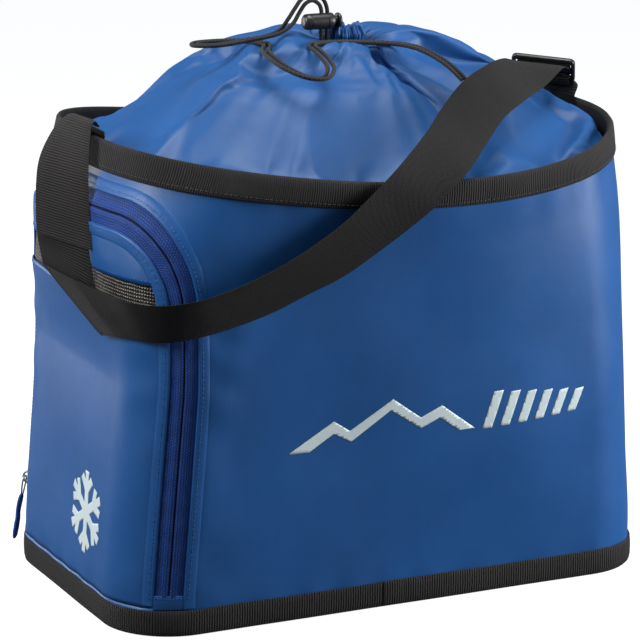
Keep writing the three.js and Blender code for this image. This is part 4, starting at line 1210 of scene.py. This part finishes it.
# ---- drawcord knot ----
def cord_knot():
    """An overhand knot at the cords' ends: a trefoil of cord pulled tight."""
    a = np.linspace(0, 2 * math.pi, 90, endpoint=False)
    x = np.sin(a) + 2 * np.sin(2 * a)
    y = np.cos(a) - 2 * np.cos(2 * a)
    z = -1.3 * np.sin(3 * a)
    pts = np.stack([x, y, z], -1) * 1.15 + np.array([67.0, -94.5, 362.0])
    ahead = unit(np.roll(pts, -1, 0) - np.roll(pts, 1, 0))
    across = unit(np.cross(ahead, np.array([0, 0, 1.0])))
    ring = np.linspace(0, 2 * math.pi, 12, endpoint=False)
    section = 1.3 * np.stack([np.cos(ring), np.sin(ring)], -1)
    up = np.cross(across, ahead)
    return sweep_closed("cord_knot_look", pts, across, up, section, knot_cord, "bag")


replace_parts(cord_knot(), "cord_knot")

# ---- slider and pull ----
LEG_U = DOOR_MIDDLE - DOOR_HALF
LEG_UP = unit(wall(LEG_U, 160.0) - wall(LEG_U, 60.0))
LEG_OUT = wall_normal(LEG_U, 100.0)
LEG_OUT = unit(LEG_OUT - LEG_UP * LEG_OUT.dot(LEG_UP))
LEG_SIDE = np.cross(LEG_UP, LEG_OUT)
SLIDER = wall(LEG_U, 53.5)

slider_plate, wedge = rounded(-4.6, -7, 4.6, 6.5, 2.6), rounded(-0.9, 3.4, 0.9, 6.2, 0.8)
leg_axes = [LEG_SIDE, LEG_UP, LEG_OUT]
for part, outline, thick, edge, out in (
    ("look", slider_plate, 1.3, 0.4, 1.0),
    ("back", slider_plate, 1.2, 0.3, -4.9),
    ("wedge", wedge, 4.8, 0.2, -2.0),
):
    origin = SLIDER + LEG_OUT * out
    obj = plate(f"zip_slider_{part}", [outline], thick, edge, leg_axes, origin, steel, "slider")
    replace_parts(obj, "zip_slider")


def local_curve(name, points, diameter, material, body, origin, count):
    """A round curve through (out, side, up) points measured from origin in the slider's frame."""
    p = np.asarray(points, float)
    pts = origin + p[:, :1] * LEG_OUT + p[:, 1:2] * LEG_SIDE + p[:, 2:] * LEG_UP
    return curve_object(name, pts, diameter, material, body, count)[0]


bail = local_curve("slider_bail_look", [
    (1.2, 0, -5.2), (4.4, 0, -4.9), (8.6, 0, -2.9), (9.6, 0, 0), (8.6, 0, 2.9), (4.4, 0, 4.9), (1.2, 0, 5.2),
], 1.6, steel, "slider", SLIDER, 40)
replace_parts(bail, "slider_bail")

PULL = SLIDER + LEG_OUT * 8.2
FLAT_OUT = unit(np.array([LEG_OUT[0], LEG_OUT[1], 0]))
FLAT_SIDE = np.array([-FLAT_OUT[1], FLAT_OUT[0], 0])


def hanging(points):
    """Places (out, side, up) points on the pull, which hangs straight down from the bail and a little out."""
    p = np.asarray(points, float)
    p = p + np.outer(-p[:, 2], (0.2, 0, 0))
    return PULL + p[:, :1] * FLAT_OUT + p[:, 1:2] * FLAT_SIDE + p[:, 2:] * np.array([0, 0, 1.0])


wire = curve_object("pull_wire_look", hanging([
    (0, -1.0, -15.4), (0, -1.5, -13), (0, -2.5, -8), (0, -2.8, -3.5), (0, -2.1, -0.4), (0, 0, 0.8),
    (0, 2.1, -0.4), (0, 2.8, -3.5), (0, 2.5, -8), (0, 1.5, -13), (0, 1.0, -15.4),
]), 1.25, steel, "pull", 90)[0]
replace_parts(wire, "pull_wire")
pull_braid = braid("pull_braid", (0.012, 0.05, 0.24), 0.08)
pull_loop = curve_object("pull_cord_look", hanging([
    (0.4, 0.9, -34), (0.9, 1.5, -27), (0.8, 1.9, -20.5), (0.5, 1.5, -16.5), (0.3, 0, -14.6),
    (0.5, -1.5, -16.5), (0.8, -1.9, -20.5), (0.9, -1.5, -27), (0.4, -0.9, -34),
]), 2.5, pull_braid, "pull", 120)[0]
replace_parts(pull_loop, "pull_cord")


def pull_grip():
    """The shrunk sleeve that joins the pull cord's two ends."""
    n = 24
    z = np.linspace(0, 1, n)
    th = np.linspace(0, 2 * math.pi, n, endpoint=False)
    r = 0.55 + 0.45 * np.sin(math.pi * np.clip(z * 1.02, 0, 1)) ** 0.35
    Z, T = np.meshgrid(z, th, indexing="ij")
    R = np.interp(Z, z, r)
    tip = np.where(Z > 0.93, 0.8, 1.0)
    out = 0.3 + 1.9 * R * np.cos(T) * tip
    side = 3.0 * R * np.sin(T) * tip + 0.15 * np.sin(20 * Z)
    pts = hanging(np.stack([out, side, -29.5 - 20.0 * Z], -1).reshape(-1, 3))
    faces = grid_faces(n, n, wrap_v=True) + end_caps(n, n)
    uv = np.stack([Z * 300, T * 1000 / 6.28], -1)
    return mesh("pull_grip", pts, faces, pull_braid, "pull", uv)


pull_grip()

# ---- pieces seen only through openings ----
for name in ("base_board", "back_left_seam_tape", "back_right_seam_tape", "lock_spring"):
    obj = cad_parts[name]
    obj.data.materials.clear()
    looks = {"base_board": lining, "lock_spring": bright_steel}
    obj.data.materials.append(looks.get(name, binding_tape))


# ---- printed graphics: thin film on the cloth ----
def film_piece(name, outline, place, body, cell=2.2):
    """A filled 2-D outline laid on the wall; place maps its x, y to the wall's u, v."""
    ring = []
    for (x0, y0), (x1, y1) in zip(outline, outline[1:] + outline[:1]):
        k = max(1, int(math.hypot(x1 - x0, y1 - y0) / cell))
        ring += [(x0 + (x1 - x0) * i / k, y0 + (y1 - y0) * i / k) for i in range(k)]
    xs, ys = zip(*ring)
    inside = [(x, y) for x in np.arange(min(xs), max(xs), cell) for y in np.arange(min(ys), max(ys), cell)]
    n = len(ring)
    edges = [(i, (i + 1) % n) for i in range(n)]
    verts, _, faces, *_ = delaunay_2d_cdt([Vector(p) for p in ring + inside], edges, [], 1, 1e-5)
    xy = np.array([tuple(p) for p in verts])
    u, v = place(xy[:, 0], xy[:, 1])
    obj = mesh(name, skin(u, v, 0.1), [tuple(f) for f in faces], film, body, xy)
    obj.modifiers.new("thickness", "SOLIDIFY").thickness = -0.08 * MM
    return obj


def mountain_print():
    """A line of plain peaks beside a row of slanted bars."""
    middle_u, middle_v = FLAT + ARC + (HALF_LENGTH - CORNER) + 24, 148

    def place(x, y):
        return middle_u + x + 0.08 * y, middle_v + y * 0.95 + 0.026 * x
    peaks = [
        (-118, -17), (-84, 6), (-70, -3), (-38, 20), (-14, 2), (2, 10), (30, -13),
        (18, -13), (1, 0), (-13, -7), (-39, 11), (-68, -12), (-83, -4), (-101, -17),
    ]
    film_piece("front_print_peaks", peaks, place, "bag")
    for i in range(6):
        x, top = 40 + i * 14.5, 15 - 2.5 * i
        bar = [(x - 4, -15), (x + 4, -15), (x + 11, top), (x + 3, top)]
        film_piece(f"front_print_bar_{i + 1}", bar, place, "bag")


def end_print():
    """A six-armed snow crystal."""
    middle_u, middle_v, size = 34, 70, 1.55

    def place(x, y):
        return middle_u + x, middle_v + y
    arm = (
        (3.9, -2.2), (9.5, -2.2), (14.5, -7.2), (17.2, -4.4), (14.6, -1.8), (19, -2.2),
        (19, 2.2), (14.6, 1.8), (17.2, 4.4), (14.5, 7.2), (9.5, 2.2),
    )
    crystal = []
    for k in range(6):
        a = math.radians(60 * k + 90)
        c, s = math.cos(a), math.sin(a)
        scaled_arm = [(size * x, size * y) for x, y in arm]
        crystal += [(r * c - w * s, r * s + w * c) for r, w in scaled_arm]
    film_piece("end_print", crystal, place, "door", 1.6)


mountain_print()
end_print()


# ---- set ----
def make_set():
    floor = bpy.data.meshes.new("floor")
    half_m, sink_m = 6, 0.0004
    corners = [(-half_m, -half_m), (half_m, -half_m), (half_m, half_m), (-half_m, half_m)]
    floor.from_pydata([(x, y, -sink_m) for x, y in corners], [], [(0, 1, 2, 3)])
    g = Graph("floor_paper", (0.3, 0.3, 0.3), 0.95, Specular_IOR_Level=0.0)
    tone = g.ramp(g.noise(0.9, 2), [(0.3, (0.29, 0.29, 0.29)), (0.7, (0.31, 0.31, 0.31))])
    g.set(g.shader, "Emission Color", (0.97, 0.985, 1.0, 1))
    g.set(g.shader, "Emission Strength", 0.93)
    floor.materials.append(g.finish(tone))
    obj = bpy.data.objects.new("floor", floor)
    bpy.context.collection.objects.link(obj)
    obj.visible_diffuse = obj.visible_glossy = False
    world = bpy.data.worlds.new("studio")
    world.use_nodes = True
    background = world.node_tree.nodes["Background"]
    background.inputs["Color"].default_value = (0.93, 0.96, 1.0, 1)
    background.inputs["Strength"].default_value = 0.16
    bpy.context.scene.world = world
    for name, at, aim, size, power in (
        ("key", (1.0, -0.66, 0.5), (0.1, -0.1, 0.24), 0.7, 18),
        ("left", (-1.35, 0.1, 0.95), (-0.2, 0.0, 0.25), 0.8, 21),
        ("end_sheen", (-0.8, 1.1, 0.35), (-0.2, 0.0, 0.25), 0.7, 6),
        ("top", (0.1, -0.2, 1.75), (0.0, 0.0, 0.3), 0.9, 21),
    ):
        light = bpy.data.lights.new(name, "AREA")
        light.shape, light.size, light.energy = "DISK", size, power
        lamp = bpy.data.objects.new(name, light)
        lamp.location = at
        lamp.visible_camera = False
        lamp.rotation_euler = (Vector(at) - Vector(aim)).to_track_quat("Z", "Y").to_euler()
        bpy.context.collection.objects.link(lamp)


make_set()
bpy.context.scene.view_settings.view_transform = "Standard"
